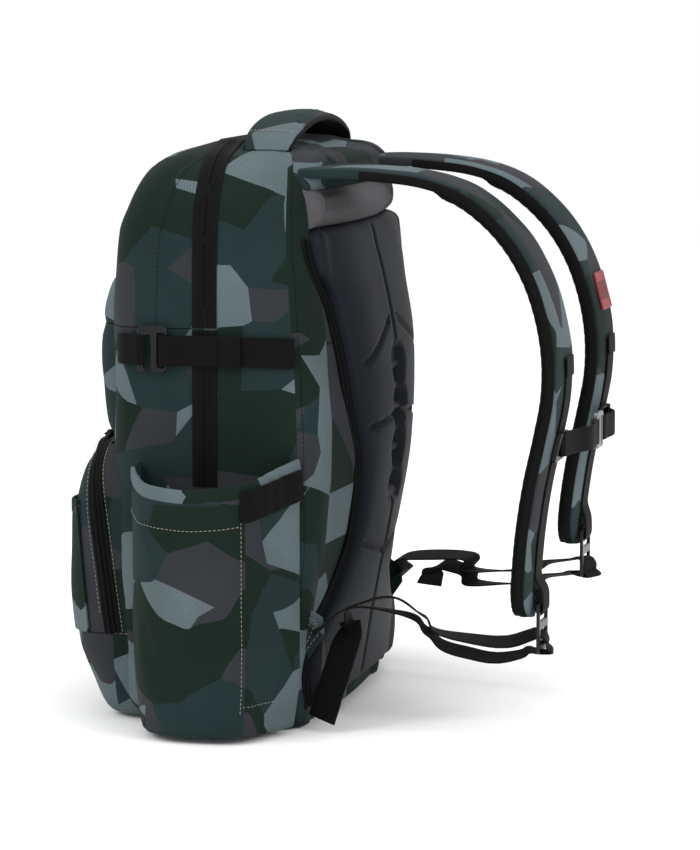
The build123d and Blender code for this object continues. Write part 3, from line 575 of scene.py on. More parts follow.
# ---------------------------------------------------------------- the bag's outline
ROWS = np.concatenate(
    (
        (0.0, 2.5, 6.0, 10.0, 15.0, 21.0, 28.0),
        np.arange(37.0, 322.0, 9.0),
        (FLAP_Z - 3.0, FLAP_Z - 0.4, FLAP_Z + 0.4, FLAP_Z + 3.0),
        np.arange(337.0, 400.0, 8.0),
        np.arange(404.0, 462.0, 4.0),
        (464.0, 466.5, 469.0, 471.0, 472.0),
    )
)
CREST_STEPS = np.array((0.2, 0.45, 0.72, 1.0))
FLAP_ROW = int(np.searchsorted(ROWS, FLAP_Z)) - 1
COUNTS = {"rear_side": 12, "gusset": 12, "back": 16, "front_side": 12, "corner": 8, "front": 16}


def half_rings(z):
    """Right-hand half of the outline at each height, from the zip line to the back's middle and to the
    front's middle."""
    side, front, seam, gusset, back = through(SECTIONS, z).T[:, :, None]
    inner = side - REAR_GUSSET
    corner = CORNER
    t = {k: np.linspace(0, 1, n + 1)[None] for k, n in COUNTS.items()}
    zip_y = np.full_like(side, ZIP_Y)
    one = np.ones_like(side)
    rear_x = [side * one + 0 * t["rear_side"]]
    rear_y = [zip_y + (seam - zip_y) * t["rear_side"]]
    g = t["gusset"][:, 1:]
    slope = np.hypot(REAR_GUSSET, gusset - seam)
    bulge = GUSSET_BULGE * 4 * g * (1 - g)
    rear_x.append(side - REAR_GUSSET * g + bulge * (gusset - seam) / slope)
    rear_y.append(seam + (gusset - seam) * g + bulge * REAR_GUSSET / slope)
    b = t["back"][:, 1:]
    rear_x.append(inner * (1 - b))
    rear_y.append(back - (back - gusset) * (1 - b) ** 2)
    f = t["front_side"]
    front_x = [side + 0 * f]
    front_y = [zip_y + (front + corner - zip_y) * f]
    angle = t["corner"][:, 1:] * math.pi / 2
    front_x.append(side - corner * (1 - np.cos(angle)))
    front_y.append(front + corner * (1 - np.sin(angle)))
    e = t["front"][:, 1:]
    front_x.append((side - corner) * (1 - e))
    front_y.append(front - 2.0 * (1 - (1 - e) ** 2) * np.ones_like(front))
    make = lambda xs, ys: np.stack(
        (np.concatenate(xs, axis=1), np.concatenate(ys, axis=1),
         np.broadcast_to(z[:, None], np.concatenate(xs, axis=1).shape)), axis=2
    )
    return make(rear_x, rear_y), make(front_x, front_y)


def close_over(half):
    """Rows that carry the top ring in to the crest line above the zip, rising as the root of the way in."""
    last = half[-1]
    crest = np.stack((last[:, 0] * 0.9, np.full(len(last), ZIP_Y), np.full(len(last), CREST)), axis=1)
    rows = []
    for s in CREST_STEPS:
        rise = math.sin(s * math.pi / 2)
        rows.append(np.stack((last[:, 0] + (crest[:, 0] - last[:, 0]) * s,
                              last[:, 1] + (crest[:, 1] - last[:, 1]) * s,
                              last[:, 2] + (crest[:, 2] - last[:, 2]) * rise), axis=1))
    return np.concatenate((half, np.stack(rows)))


def close_under(half):
    """Rows that carry the bottom ring in to a line under the middle of the base, which is flat."""
    first = half[0]
    rows = []
    for s in (1.0, 0.66, 0.33, 0.1):
        rows.append(np.stack((first[:, 0] * (1 - 0.05 * s), first[:, 1] + (ZIP_Y - first[:, 1]) * s,
                              first[:, 2] + 0.3 * s), axis=1))
    return np.concatenate((np.stack(rows), half))


UNDER = 4


def shell_grids():
    """Full rear and front grids from the left zip line round to the right, with crest and base rows."""
    grids = []
    for half in half_rings(ROWS):
        half = close_under(close_over(half))
        left = mirrored(half, -1.0)
        grids.append(np.concatenate((left, half[:, -2::-1]), axis=1))
    return grids


def sew(grid, creases, depth):
    """How far each column is pulled in by the seams: a steep hat over each crease."""
    column = np.arange(grid.shape[1])[:, None]
    return depth * np.clip(1 - np.abs(column - np.asarray(creases)[None]) / 2.0, 0, 1).max(axis=1)


def body_y(x, z):
    """The bag's rear surface at a place across and a height: a parabola over the back and a slope on the
    gussets."""
    side, _, seam, gusset, back = through(SECTIONS, z).T
    inner = side - REAR_GUSSET
    x = np.abs(x)
    middle = back - (back - gusset) * (np.minimum(x, inner) / inner) ** 2
    g = np.clip((x - inner) / REAR_GUSSET, 0, 1)
    edge = gusset + (seam - gusset) * g + GUSSET_BULGE * 4 * g * (1 - g)
    return np.where(x <= inner, middle, edge)


def stitch_run(cloth, path, normal, settings, lift=0.25, radius=0.3):
    """Thread stitches along a path: small capsules that dip at both ends, one every length plus gap."""
    length, gap = settings
    run = lengths(path)
    count = max(int(run[-1] / (length + gap)), 1)
    middle = (np.arange(count) + 0.5) * run[-1] / count
    at, ahead, behind = (
        np.stack([np.interp(middle + d, run, path[:, k]) for k in range(3)], axis=1) for d in (0.0, 0.4, -0.4)
    )
    tangent = unit(ahead - behind)
    normal = np.broadcast_to(np.asarray(normal, float), path.shape)
    up = np.stack([np.interp(middle, run, normal[:, k]) for k in range(3)], axis=1)
    up = unit(up - tangent * np.sum(up * tangent, axis=1, keepdims=True))
    across = np.cross(tangent, up)
    s = np.array((-1.0, -0.8, 0.0, 0.8, 1.0))[:, None, None]
    size = (np.array((0.0, 0.8, 1.0, 0.8, 0.0)) * radius)[:, None, None]
    angle = np.linspace(0, 2 * math.pi, 6, endpoint=False)[:, None]
    ring = across[:, None, None] * np.cos(angle) + up[:, None, None] * np.sin(angle)
    centre = at[:, None, None] + tangent[:, None, None] * s * length / 2 + up[:, None,
                                                                              None] * (lift - 0.3 * s**2)
    points = (centre + ring * size).reshape(-1, 3)
    vertex, _ = grid_quads(5, 6, True)
    faces = (vertex[None] + (np.arange(count) * 30)[:, None, None]).reshape(-1, 4)
    cloth.add(points, faces.tolist(), list(np.zeros((len(faces), 4, 2))))


# ---------------------------------------------------------------- pieces: shell
SEAM_COLUMNS = {
    "rear": (COUNTS["rear_side"], COUNTS["rear_side"] + COUNTS["gusset"]),
    "front": (COUNTS["front_side"], COUNTS["front_side"] + COUNTS["corner"]),
}


def shell_panels(half_count, limits, numbers):
    """Panel number of each column of a full grid: numbers between the seam columns, mirrored with an
    offset."""
    column = np.arange(half_count)
    right = np.asarray(numbers, float)[np.searchsorted(limits, column, side="right")]
    return np.concatenate((right + 7.0, right[::-1]))


def make_shell():
    """The main compartment's rear shell and the front flap, as two thick sewn sheets."""
    cloths = (MATERIALS["camo"], MATERIALS["lining"])
    rear, front = shell_grids()
    rows = rear.shape[0]
    height = np.concatenate((np.zeros(UNDER), ROWS, np.full(len(CREST_STEPS), CREST)))
    for grid, side in ((rear, "rear"), (front, "front")):
        half = (grid.shape[1] - 1) // 2
        seams = [c for s in SEAM_COLUMNS[side][:1] for c in (s, 2 * half - s)]
        normal, pull = outward(grid, CORE), sew(grid, seams, 2.2)
        fade = np.clip(height / 12, 0, 1)[:, None] * np.clip((CREST + 6 - height) / 30, 0, 1)[:, None]
        edge = np.clip(np.minimum(np.arange(grid.shape[1]), np.arange(grid.shape[1])[::-1]) / 3.0, 0, 1)
        waves = 1.1 * ripple(grid, 130.0, 4) + 0.5 * ripple(grid, 45.0, 9)
        low = np.clip((120 - height) / 100, 0, 1)[:, None] * 0.9 * ripple(grid * np.array((1, 1, 2.2)), 38.0,
                                                                          21)
        grid += normal * ((waves + low) * fade * edge - pull * fade * np.ones_like(waves))[..., None]
    half = (rear.shape[1] - 1) // 2
    rear_panel = shell_panels(half, SEAM_COLUMNS["rear"], (0.0, 1.0, 2.0))
    front_panel = shell_panels((front.shape[1] - 1) // 2, SEAM_COLUMNS["front"], (3.0, 3.0, 4.0))
    flap_row = UNDER + FLAP_ROW
    shell = Cloth()
    # The rear grid runs the full height; the front grid only up to the flap's fold.
    ring = np.concatenate((rear, front[:, -2:0:-1]), axis=1)
    keep = np.ones((rows - 1, ring.shape[1]), bool)
    keep[flap_row:, rear.shape[1] - 1 :] = False
    panel = np.broadcast_to(np.concatenate((rear_panel, front_panel[::-1])), keep.shape)
    shell.slab(ring, FABRIC, CORE, True, keep, panel, (0, 1))
    SHAPES.update(rear=rear, front=front)
    shell.build("sewn_shell", cloths, "root", "camo_fabric", ("main_shell",))
    flap = Cloth()
    top = front[flap_row + 1 :]
    flap.slab(top, FABRIC, CORE, panel=np.broadcast_to(front_panel, (len(top) - 1, len(front_panel))),
              slots=(0, 1))
    flap.build("sewn_flap", cloths, "main_flap", "camo_fabric", ("main_flap",))


# ---------------------------------------------------------------- pieces: zips
def zip_half(cloth, path, side, outer):
    """Half a reverse-coil zip: a thin tape with a rounded fold over the coil along its inner edge."""
    inner = math.copysign(0.3, outer)
    t = np.linspace(0, 1, 15)
    width = abs(outer) - 0.3
    height = (
        1.0 + 1.0 * np.exp(-(((t * width - 1.7) / 1.1) ** 2))
        - 0.35 * np.exp(-(((t * width - 3.9) / 0.6) ** 2))
    )
    top = np.stack((inner + (outer - inner) * t, height), axis=1)
    under = np.stack((top[::-1, 0], np.full(15, -0.2)), axis=1)
    cloth.tube(sweep(path, side, np.concatenate((top, under))))


def smoothed(values, times=6):
    """Rows averaged with their neighbours a few times, ends held."""
    for _ in range(times):
        values = np.concatenate((values[:1], (values[:-2] + values[1:-1] * 2 + values[2:]) / 4, values[-1:]))
    return values


def make_zips():
    """The main zip up the side, over the top and down, with its lower run that stays on the shell."""
    tape = (MATERIALS["tape"],)
    rear = SHAPES["rear"]
    right = rear[UNDER + FLAP_ROW + 1 :, -1]
    left = rear[UNDER + FLAP_ROW + 1 :, 0]
    line = np.concatenate((right, left[::-1]))
    line[:, 1] = ZIP_Y
    line[0, 2] = line[-1, 2] = FLAP_Z + 0.8
    path = even_path(line, 200)
    halves = {"rear": Cloth(), "front": Cloth()}
    zip_half(halves["rear"], path, (0, 1, 0), 10.2)
    zip_half(halves["front"], path, (0, 1, 0), -10.2)
    low = rear[:, -1][(rear[:, -1, 2] > 190) & (rear[:, -1, 2] < FLAP_Z)]
    low[:, 1] = ZIP_Y
    low[-1, 2] = FLAP_Z - 0.6
    for sign in (1.0, -1.0):
        run = even_path(mirrored(low, sign), 60)
        for outer in (10.2, -10.2):
            zip_half(halves["rear"], run if sign > 0 else run[::-1], (0, 1, 0), outer)
    halves["rear"].build("main_zip_rear_half", tape, "root", "zip_tape", ("main_zip_tape_rear",))
    halves["front"].build("main_zip_front_half", tape, "main_flap", "zip_tape", ("main_zip_tape_front",))


# ---------------------------------------------------------------- pieces: front pockets
def front_y(x, z):
    """The bag's front surface: flat with a slight crown, and a quarter round at each side."""
    side, front, _, _, _ = through(SECTIONS, z).T
    x = np.abs(x)
    flat = side - CORNER
    crown = 2.0 * (1 - np.clip(x / flat, 0, 1) ** 2)
    turn = np.clip(x - flat, 0, CORNER)
    return front - crown + CORNER - np.sqrt(CORNER**2 - turn**2)


UPPER_POCKET = np.array(
    (
        (228.0, 112.0, -101.0),
        (231.0, 118.0, -108.0),
        (236.0, 121.5, -113.5),
        (246.0, 124.5, -117.0),
        (262.0, 127.0, -118.5),
        (304.0, 128.5, -120.5),
        (319.0, 128.3, -119.0),
        (326.4, 128.0, -117.3),
        (334.0, 127.6, -118.4),
        (350.0, 126.5, -115.5),
        (360.0, 123.0, -112.0),
        (366.0, 118.0, -107.5),
        (369.0, 114.0, -101.0),
    )
)
LOWER_POCKET = np.array(
    (
        (0.8, 112.0, -100.0),
        (1.2, 120.0, -112.0),
        (3.5, 126.0, -119.5),
        (14.0, 131.5, -126.0),
        (30.0, 136.0, -132.0),
        (64.0, 140.0, -141.0),
        (115.0, 142.0, -143.5),
        (175.0, 142.0, -142.5),
        (205.0, 138.5, -137.0),
        (218.0, 132.0, -130.5),
        (224.5, 125.0, -124.5),
        (227.6, 118.0, -121.0),
        (230.5, 114.0, -112.0),
        (232.5, 112.0, -101.0),
    )
)
POCKET_HINGE = 72.4
POCKET_TOP = 227.6


def pocket_half(z, table, corner):
    """Fine outline points of a front pocket's right half at each height: side wall, quarter round, front."""
    half, front = through(table, z).T[:, :, None]
    rear = front_y(half[:, 0], z)[:, None] + 2.0
    s = np.linspace(0, 1, 13)[None]
    a = np.linspace(0, math.pi / 2, 25)[None, 1:]
    e = np.linspace(0, 1, 25)[None, 1:]
    turn_y = np.minimum(front + corner * (1 - np.sin(a)), rear)
    x = (half + 0 * s, half - corner * (1 - np.cos(a)), (half - corner) * (1 - e))
    y = (rear + (turn_y[:, :1] - rear) * s, turn_y, np.minimum(front, rear) + 0 * e)
    x, y = np.concatenate(x, axis=1), np.concatenate(y, axis=1)
    return np.stack((x, y, np.broadcast_to(z[:, None], x.shape)), axis=2)


def whole(half):
    """The left mirror of a half grid joined to it at the middle column."""
    return np.concatenate((mirrored(half, -1.0), half[:, -2::-1]), axis=1)


def make_upper_pocket():
    """The low pocket across the upper front, split at the flap's fold, and its side zip."""
    cloths = (MATERIALS["camo"], MATERIALS["lining"])
    z = np.concatenate(
        ((228.0, 229.0, 231.0, 234.0, 238.0), np.arange(244, 322, 6.0), (FLAP_Z - 0.4, FLAP_Z + 0.4),
         np.arange(333, 356, 5.0),
         (358.0, 361.0, 364.0, 366.5, 368.0, 369.0))
    )
    half = pocket_half(z, UPPER_POCKET, 22.0)[:, ::2]
    grid = whole(half)
    normal = outward(grid, CORE)
    free = np.clip((-104.0 - grid[..., 1]) / 8, 0, 1) * (1 - np.exp(-(((z - FLAP_Z) / 7) ** 2)))[:, None]
    grid = grid + (
        normal * (0.9 * ripple(grid, 90.0, 31) + 0.4 * ripple(grid, 30.0, 32))[..., None] * free[..., None]
    )
    split = int(np.searchsorted(z, FLAP_Z)) - 1
    for name, rows, body, node_name in (
        ("upper_pocket_cloth", slice(0, split + 1), "root", "upper_pocket"),
        ("upper_pocket_top_cloth", slice(split + 1, None), "main_flap", "upper_pocket_top"),
    ):
        part = Cloth()
        part.slab(grid[rows], 2.2, CORE, panel=11.0, slots=(0, 1))
        part.build(name, cloths, body, "camo_fabric", (node_name,))
    SHAPES["upper_pocket"] = grid
    run = even_path(np.array(((-128.9, -110.6, 258.0), (-129.1, -110.6, 290.0), (-129.2, -110.6, 322.0))), 40)
    strip = Cloth()
    for outer in (4.6, -4.6):
        zip_half(strip, run[::-1], (0, 1, 0), outer)
    strip.build("upper_pocket_zip", (MATERIALS["tape"],), "root", "zip_tape")


def make_lower_pocket():
    """The lower pocket: one grid whose columns follow the zip, shared out between gusset, flap and slip
    pocket."""
    cloths = (MATERIALS["camo"], MATERIALS["lining"])
    z = np.concatenate(
        ((0.8, 1.2, 2.0, 3.5, 7.0, 12.0), np.arange(19, 70, 7.0), (POCKET_HINGE - 0.4, POCKET_HINGE + 0.4),
         np.arange(79, 200, 6.0),
         (204.0, 208.0, 212.0, 215.5, 218.5, 221.0, 223.0, 224.8, 226.3, POCKET_TOP, 229.5, 231.2, 232.5))
    )
    fine = pocket_half(z, LOWER_POCKET, 32.0)
    zip_y = -103.0 - 17.0 / 143.0 * np.clip(z - 72.0, 0, None)
    zip_y = np.where(z > POCKET_TOP - 0.1, np.minimum(zip_y, fine[:, -1, 1] + 0.2), zip_y)
    gusset, face = [], []
    for row, cut in zip(fine, zip_y):
        run = lengths(row)
        at = np.interp(-cut, -row[:, 1], run)
        for into, start, stop, count in ((gusset, 0.0, at, 10), (face, at, run[-1], 26)):
            where = np.linspace(start, stop, count)
            into.append(np.stack([np.interp(where, run, row[:, k]) for k in range(3)], axis=1))
    half = np.concatenate((np.stack(gusset), np.stack(face)[:, 1:]), axis=1)
    grid = whole(half)
    normal = outward(grid, (0.0, -90.0, 110.0))
    free = np.clip((-106.0 - grid[..., 1]) / 14, 0, 1) * np.clip((z - 2) / 20, 0, 1)[:, None]
    bulge = (
        2.0 * np.sin(np.clip((z - 72) / 150, 0, 1) * math.pi)[:, None]
        * np.clip(1 - (grid[..., 0] / 110) ** 2, 0, 1)
    )
    grid = grid + (
        normal * ((1.2 * ripple(grid, 80.0, 41) + 0.5 * ripple(grid, 28.0, 42) + bulge) * free)[..., None]
    )
    columns = grid.shape[1] - 1
    on_face = (np.arange(columns) >= 9) & (np.arange(columns) < columns - 9)
    row = z[:-1]
    fixed = ~(on_face[None] & ((row > POCKET_HINGE - 0.5) & (row < POCKET_TOP - 0.05))[:, None])
    body_part = Cloth()
    body_part.slab(grid, 2.2, (0.0, -90.0, 110.0), keep=fixed, panel=np.where(on_face, 13.0, 14.0)[None],
                   slots=(0, 1))
    body_part.build("lower_pocket_gusset_cloth", cloths, "root", "camo_fabric", ("lower_pocket_gusset",))
    rows = (z > POCKET_HINGE) & (z < POCKET_TOP + 0.1)
    face_grid = grid[rows][:, 9:-9]
    flap = Cloth()
    flap.slab(face_grid, 2.2, (0.0, -90.0, 110.0), panel=15.0, slots=(0, 1), lift=-0.2)
    flap.build("lower_pocket_face", cloths, "pocket_flap", "camo_fabric", ("lower_pocket_flap",))
    # The zip: up the right edge, along the top and down the left edge.
    edge = np.concatenate((face_grid[:, -1], face_grid[-1, ::-1][1:], face_grid[::-1, 0][1:]))
    lean = outward(grid, (0.0, -90.0, 110.0))[rows][:, 9:-9]
    lean = np.concatenate((lean[:, -1], lean[-1, ::-1][1:], lean[::-1, 0][1:]))
    run = lengths(edge)
    at = np.linspace(0, run[-1], 260)
    path = smoothed(np.stack([np.interp(at, run, edge[:, k]) for k in range(3)], axis=1), 10)
    up = smoothed(unit(np.stack([np.interp(at, run, lean[:, k]) for k in range(3)], axis=1)), 16)
    side = np.cross(unit(np.gradient(path, axis=0)), up)
    for name, outer, body, node_name in (
        ("pocket_zip_rear_half", 6.6, "root", "pocket_zip_tape_rear"),
        ("pocket_zip_front_half", -6.6, "pocket_flap", "pocket_zip_tape_front"),
    ):
        half_zip = Cloth()
        zip_half(half_zip, path, side, outer)
        half_zip.build(name, (MATERIALS["tape"],), body, "zip_tape", (node_name,))
    # The slip pocket lies on the face, stitched at its sides and foot, with a folded hem along the top.
    wide = np.abs(face_grid[0, :, 0]) < 139
    z_face = z[rows]
    slip = face_grid[(z_face < 176)][:, wide]
    lifted = outward(slip, (0.0, -90.0, 110.0))
    height = np.clip((slip[..., 2] - 73) / 100, 0, 1)
    sag = 1.2 + 2.6 * height**2 * np.clip(1 - (slip[..., 0] / 128) ** 4, 0, 1)
    slip = slip + lifted * (sag + 0.5 * ripple(slip, 40.0, 51) * height)[..., None]
    pouch = Cloth()
    pouch.slab(slip, 1.6, (0.0, -90.0, 110.0), panel=16.0, slots=(0, 1), lift=1.6)
    hem = slip[-1] + lifted[-1] * 1.0
    pouch.tube(sweep(even_path(hem, 90), np.array((0.0, 0.0, 1.0)), round_profile(12.0, -1.4, 2.0)),
               panel=16.5)
    pouch.build("slip_pocket_cloth", cloths, "pocket_flap", "camo_fabric", ("slip_pocket",))
    SHAPES.update(pocket=grid, pocket_z=z, pocket_path=path, pocket_side=side, pocket_up=up, slip=slip,
                  slip_up=lifted)


# ---------------------------------------------------------------- pieces: side pockets and compression straps
BOTTLE_PLAN = (
    (149.4, -78.0),
    (154.0, -77.0),
    (170.0, -75.0),
    (186.0, -69.5),
    (200.0, -60.0),
    (209.5, -45.0),
    (213.5, -28.0),
    (214.0, -12.0),
    (213.0, 0.0),
    (211.0, 12.0),
    (207.5, 22.0),
    (200.5, 31.0),
    (186.0, 39.5),
    (170.0, 48.5),
    (154.0, 56.5),
    (149.0, 58.5),
)
BOTTLE_RIM = ((-78.0, 217.0), (-58.0, 207.0), (-18.0, 204.0), (28.0, 209.0), (60.0, 224.0))


def bottle_grid():
    """The right pocket: its plan curve moved in near the base and joined to the floor, up to a sagging
    rim."""
    plan = smooth_path(BOTTLE_PLAN, 84)
    tangent = unit(np.gradient(plan, axis=0))
    out = np.stack((tangent[:, 1], -tangent[:, 0]), axis=1)
    rim = through(BOTTLE_RIM, plan[:, 1])[:, 0]
    share = np.concatenate((np.linspace(0, 0.12, 5), np.linspace(0.12, 1, 33)[1:]))
    z = 12.0 + (rim[None] - 12.0) * share[:, None]
    inset = np.clip(5.2 * (1 - (z - 12.0) / 30.0), 0, None)
    low_z = np.array((3.2, 3.2, 3.3, 4.0, 5.8, 8.6))[:, None] + 0 * rim
    low_inset = np.array((40.0, 24.0, 12.0, 8.6, 6.8, 5.9))[:, None] + 0 * rim
    z, inset = np.concatenate((low_z, z)), np.concatenate((low_inset, inset))
    x = plan[None, :, 0] - out[None, :, 0] * inset
    y = plan[None, :, 1] - out[None, :, 1] * inset
    x = np.maximum(x, 146.5)
    grid = np.stack((x, y, z), axis=2)
    normal = outward(grid, (160.0, -15.0, 110.0))
    height = np.clip((z - 8) / 30, 0, 1)
    free = np.clip((x - 150) / 10, 0, 1) * height
    gather = np.clip((z - rim + 40) / 40, 0, 1) ** 2 * np.sin(lengths(plan)[None] * 2 * math.pi / 12.0) * 0.45
    drape = 1.5 * ripple(grid * (1, 1, 0.6), 60.0, 61) + 0.7 * ripple(grid, 26.0,
                                                                      62) + gather * (plan[None, :, 1] > 30)
    belly = 1.6 * np.sin(np.clip((z - 20) / 180, 0, 1) * math.pi)
    return grid + normal * ((drape + belly - 1.0) * free)[..., None], plan


def make_bottle_pockets():
    """Both side pockets with hems and their elastic bands."""
    grid, plan = bottle_grid()
    inside = np.array((160.0, -15.0, 110.0))
    seam = int(np.argmin(np.abs(plan[:, 0] - 202.0) + 99 * (plan[:, 1] < 20)))
    columns = np.arange(grid.shape[1] - 1)
    crease = np.clip(1 - np.abs(np.arange(grid.shape[1]) - seam) / 1.6, 0, 1) * 1.3
    grid = grid - outward(grid, inside) * (crease[None] * np.clip((grid[..., 2] - 12) / 20, 0, 1))[..., None]
    SHAPES.update(bottle=grid, bottle_seam=seam)
    up = outward(grid, inside)
    for side, sign in SIDES.items():
        shape, centre = mirrored(grid, sign), mirrored(inside, sign)
        pocket = Cloth()
        panel = np.where(columns < seam, 21.0, 24.0)[None] + (0.0 if sign > 0 else 5.0)
        pocket.slab(shape, 2.2, centre, panel=panel, slots=(0, 1))
        rim = shape[-1] + mirrored(up[-1], sign) * -0.9
        hem = even_path(rim - np.array((0, 0, 4.5)), 150)
        band = sweep(hem, np.array((0.0, 0.0, 1.0)), round_profile(11.0, -2.0, 2.0, 16))
        pocket.tube(band, panel=27.0)
        pocket.build(f"bottle_pocket_cloth_{side}", (MATERIALS["camo"], MATERIALS["lining"]), "root",
                     "camo_fabric", (f"bottle_pocket_{side}",))
        start = seam - 2
        line = shape[:, start:]
        low = through(((30.0, 180.0), (60.0, 192.0)), line[-1, :, 1])[:, 0]
        run = even_path(np.stack((line[-4, :, 0], line[-4, :, 1], low + 12.0), axis=1), 60)
        lean = np.cross(unit(np.gradient(run, axis=0)), (0, 0, 1.0)) * -sign
        run = run + np.abs(lean) * (2.2 * sign, 2.2, 0)
        band = Cloth()
        t = lengths(run)
        ruck = 1.0 + 0.07 * np.sin(t * 2 * math.pi / 4.2)
        band.tube(sweep(run, np.array((0.0, 0.0, 1.0)), round_profile(25.0, -1.3, 1.3, 24, 5.0), 1.0, ruck))
        band.build(f"pocket_elastic_band_{side}", (MATERIALS["webbing"],), "root", "black_webbing",
                   (f"pocket_elastic_{side}",))


def ribbon(cloth, path, side, width, thickness=1.6, slot=0):
    """Flat webbing along a path with rounded edges."""
    path = np.asarray(path, float)
    cloth.tube(sweep(path, side, round_profile(width, -thickness / 2, thickness / 2, 20, 5.0)), slot)


COMPRESSION_Z = 309.0


def make_compression_straps():
    """Each side's strap: sewn in the rear seam, round the hook's rear bar and back on itself, and a front
    loop."""
    rear = ((149.6, 55.0), (151.4, 47.0), (152.0, 20.0), (152.0, -20.0), (152.8, -42.0), (153.2, -50.0),
            (154.6, -56.0), (157.4, -56.6), (158.9, -52.0), (157.6, -46.0), (154.6, -38.0),
            (153.9, -20.0), (153.9, 4.0))
    fold = ((155.6, -6.0), (155.6, 2.0), (155.8, 8.0), (154.9, 10.6), (153.9, 8.0))
    front = ((144.5, -93.0), (148.6, -89.0), (151.4, -83.0), (152.9, -76.0), (154.3, -70.6),
             (157.0, -69.6), (158.9, -73.0), (156.6, -79.0), (153.9, -85.0), (150.4, -90.6), (146.0, -94.6))
    for side, sign in SIDES.items():
        strap = Cloth()
        for points, count in ((rear, 110), (fold, 30), (front, 70)):
            flat = smooth_path(points, count)
            path = np.stack((flat[:, 0] * sign, flat[:, 1], np.full(count, COMPRESSION_Z)), axis=1)
            ribbon(strap, path, (0, 0, 1.0), 24.5, 1.5)
        strap.build(f"compression_strap_{side}", (MATERIALS["webbing"],), "root", "black_webbing",
                    (f"compression_webbing_{side}",))


# ---------------------------------------------------------------- pieces: back
PANEL_SIDE = ((14.0, 112.0), (22.0, 121.0), (40.0, 126.0), (62.0, 122.0), (84.0, 98.0), (116.0, 66.0),
              (150.0, 58.0), (210.0, 66.0), (265.0, 84.0), (320.0, 98.0), (352.0, 104.0), (374.0, 124.0),
              (396.0, 128.0), (403.0, 124.0), (407.0, 116.0))
CREST_LINE = ((10.0, 68.0), (44.0, 74.0), (80.0, 80.0), (111.0, 86.0), (139.0, 92.0), (180.0, 99.0),
              (221.0, 103.0), (246.0, 104.5), (276.0, 103.5), (314.0, 99.0), (346.0, 93.0),
              (374.0, 86.0), (408.0, 77.0))


def make_back_panel():
    """The moulded panel: a rounded rim, a crest that follows the back's curve, a centre channel with ribs
    and grooves."""
    z = np.concatenate(((14.0, 14.0, 14.6, 16.0, 18.5), np.arange(22, 401, 2.1),
                        (403.0, 405.2, 406.5, 407.0, 407.0)))
    ends = np.minimum(z - 14.0, 407.0 - z)
    end = np.sqrt(np.clip(1 - (1 - np.clip(ends / 9, 0, 1)) ** 2, 0, 1))
    end[0] = end[-1] = 0.0
    half = through(PANEL_SIDE, z)[:, :1]
    crest = through(CREST_LINE, z)[:, :1]
    edge = np.array((0.0, 0.0, 0.0, 0.5, 1.6, 3.4, 6.0, 9.0))
    climb = np.array((0.0, 0.35, 0.62, 0.8, 0.9, 0.96, 0.99, 1.0))
    middle = np.linspace(-1, 1, 61)[None]
    x = np.concatenate((-half + edge, (half - 9.0) * middle[:, 1:-1], half - edge[::-1]), axis=1)
    rise = np.concatenate((np.broadcast_to(climb, (len(z), 8)), np.ones((len(z), 59)),
                           np.broadcast_to(climb[::-1], (len(z), 8))), axis=1)
    base = np.stack([body_y(row, np.full_like(row, h)) for row, h in zip(x, z)])
    top = np.maximum(crest - base, 9.0)
    across = np.abs(x) / half
    swell = 11.0 + (top - 11.0) * (1 - across**2.2)
    zz = z[:, None]
    wide = np.clip((zz - 170) / 14, 0, 1) * np.clip((306 - zz) / 8, 0, 1)
    slot = 4.5 * np.exp(-((x / 2.6) ** 4)) * np.clip((zz - 296) / 6, 0, 1) * np.clip((404 - zz) / 6, 0, 1)
    foot = 4.0 * np.exp(-((x / 3.0) ** 4)) * np.clip((176 - zz) / 6, 0, 1) * np.clip((zz - 20) / 6, 0, 1)
    channel = 9.0 * wide / (1 + np.exp((np.abs(x) - 17.0 - 3 * np.sin(zz / 17.5 * math.pi)) / 1.3))
    ribs = 3.2 * wide * np.clip(np.cos(2 * math.pi * (zz - 180) / 17.5) * 1.6, -1, 1) * (np.abs(x) < 17)
    cross = 4.5 * np.exp(-(((zz - 248 + 0.12 * np.abs(x)) / 2.6) ** 4)) * (across < 0.93)
    low = 4.0 * np.exp(-(((zz - 128 - 0.25 * np.abs(x)) / 2.6) ** 4)) * (across < 0.9)
    arm = 3.6 * np.exp(-(((zz - 330 + 0.45 * np.abs(x)) / 2.6) ** 4)) * (across < 0.9) * (np.abs(x) > 12)
    depth = swell - np.maximum.reduce([slot, foot, channel - ribs, cross, low, arm])
    outer = np.stack((x, base + np.clip(depth, 4.0, None) * rise * end[:, None] + 0.3,
                      np.broadcast_to(zz, x.shape)), axis=2)
    inner = np.stack((x, base + 0.25, np.broadcast_to(zz, x.shape)), axis=2)
    foam = Cloth()
    foam.between(outer, inner)
    panel = foam.build("moulded_back_panel", (MATERIALS["foam"],), "root", "eva_foam", ("back_panel",))
    # Two rows of piping and the tape between them run round the panel's edge.
    rise_z = np.linspace(20.0, 398.0, 150)
    edge_x = through(PANEL_SIDE, rise_z)[:, 0]
    slope = np.gradient(edge_x, rise_z)
    out = unit(np.stack((np.ones_like(slope), -slope), axis=1))
    piping = Cloth()
    for offset, radius, flat in ((3.2, 2.3, 1.0), (7.6, 1.7, 1.0), (5.4, 2.8, 0.3)):
        for sign in (1.0, -1.0):
            px, pz = edge_x + out[:, 0] * offset, rise_z + out[:, 1] * offset
            line = smoothed(np.stack((px * sign, body_y(px, pz) + radius * 0.6 * flat, pz), axis=1), 8)
            line = even_path(line, 170)
            angle = np.linspace(0, 2 * math.pi, 14, endpoint=False)
            ring = np.stack((np.cos(angle) * radius, np.sin(angle) * radius * flat), axis=1)
            piping.tube(sweep(line, np.array((1.0, 0.0, 0.0)), ring))
    piping.build("panel_piping", (MATERIALS["tape"],), "root", "binding_tape", ("panel_binding",))


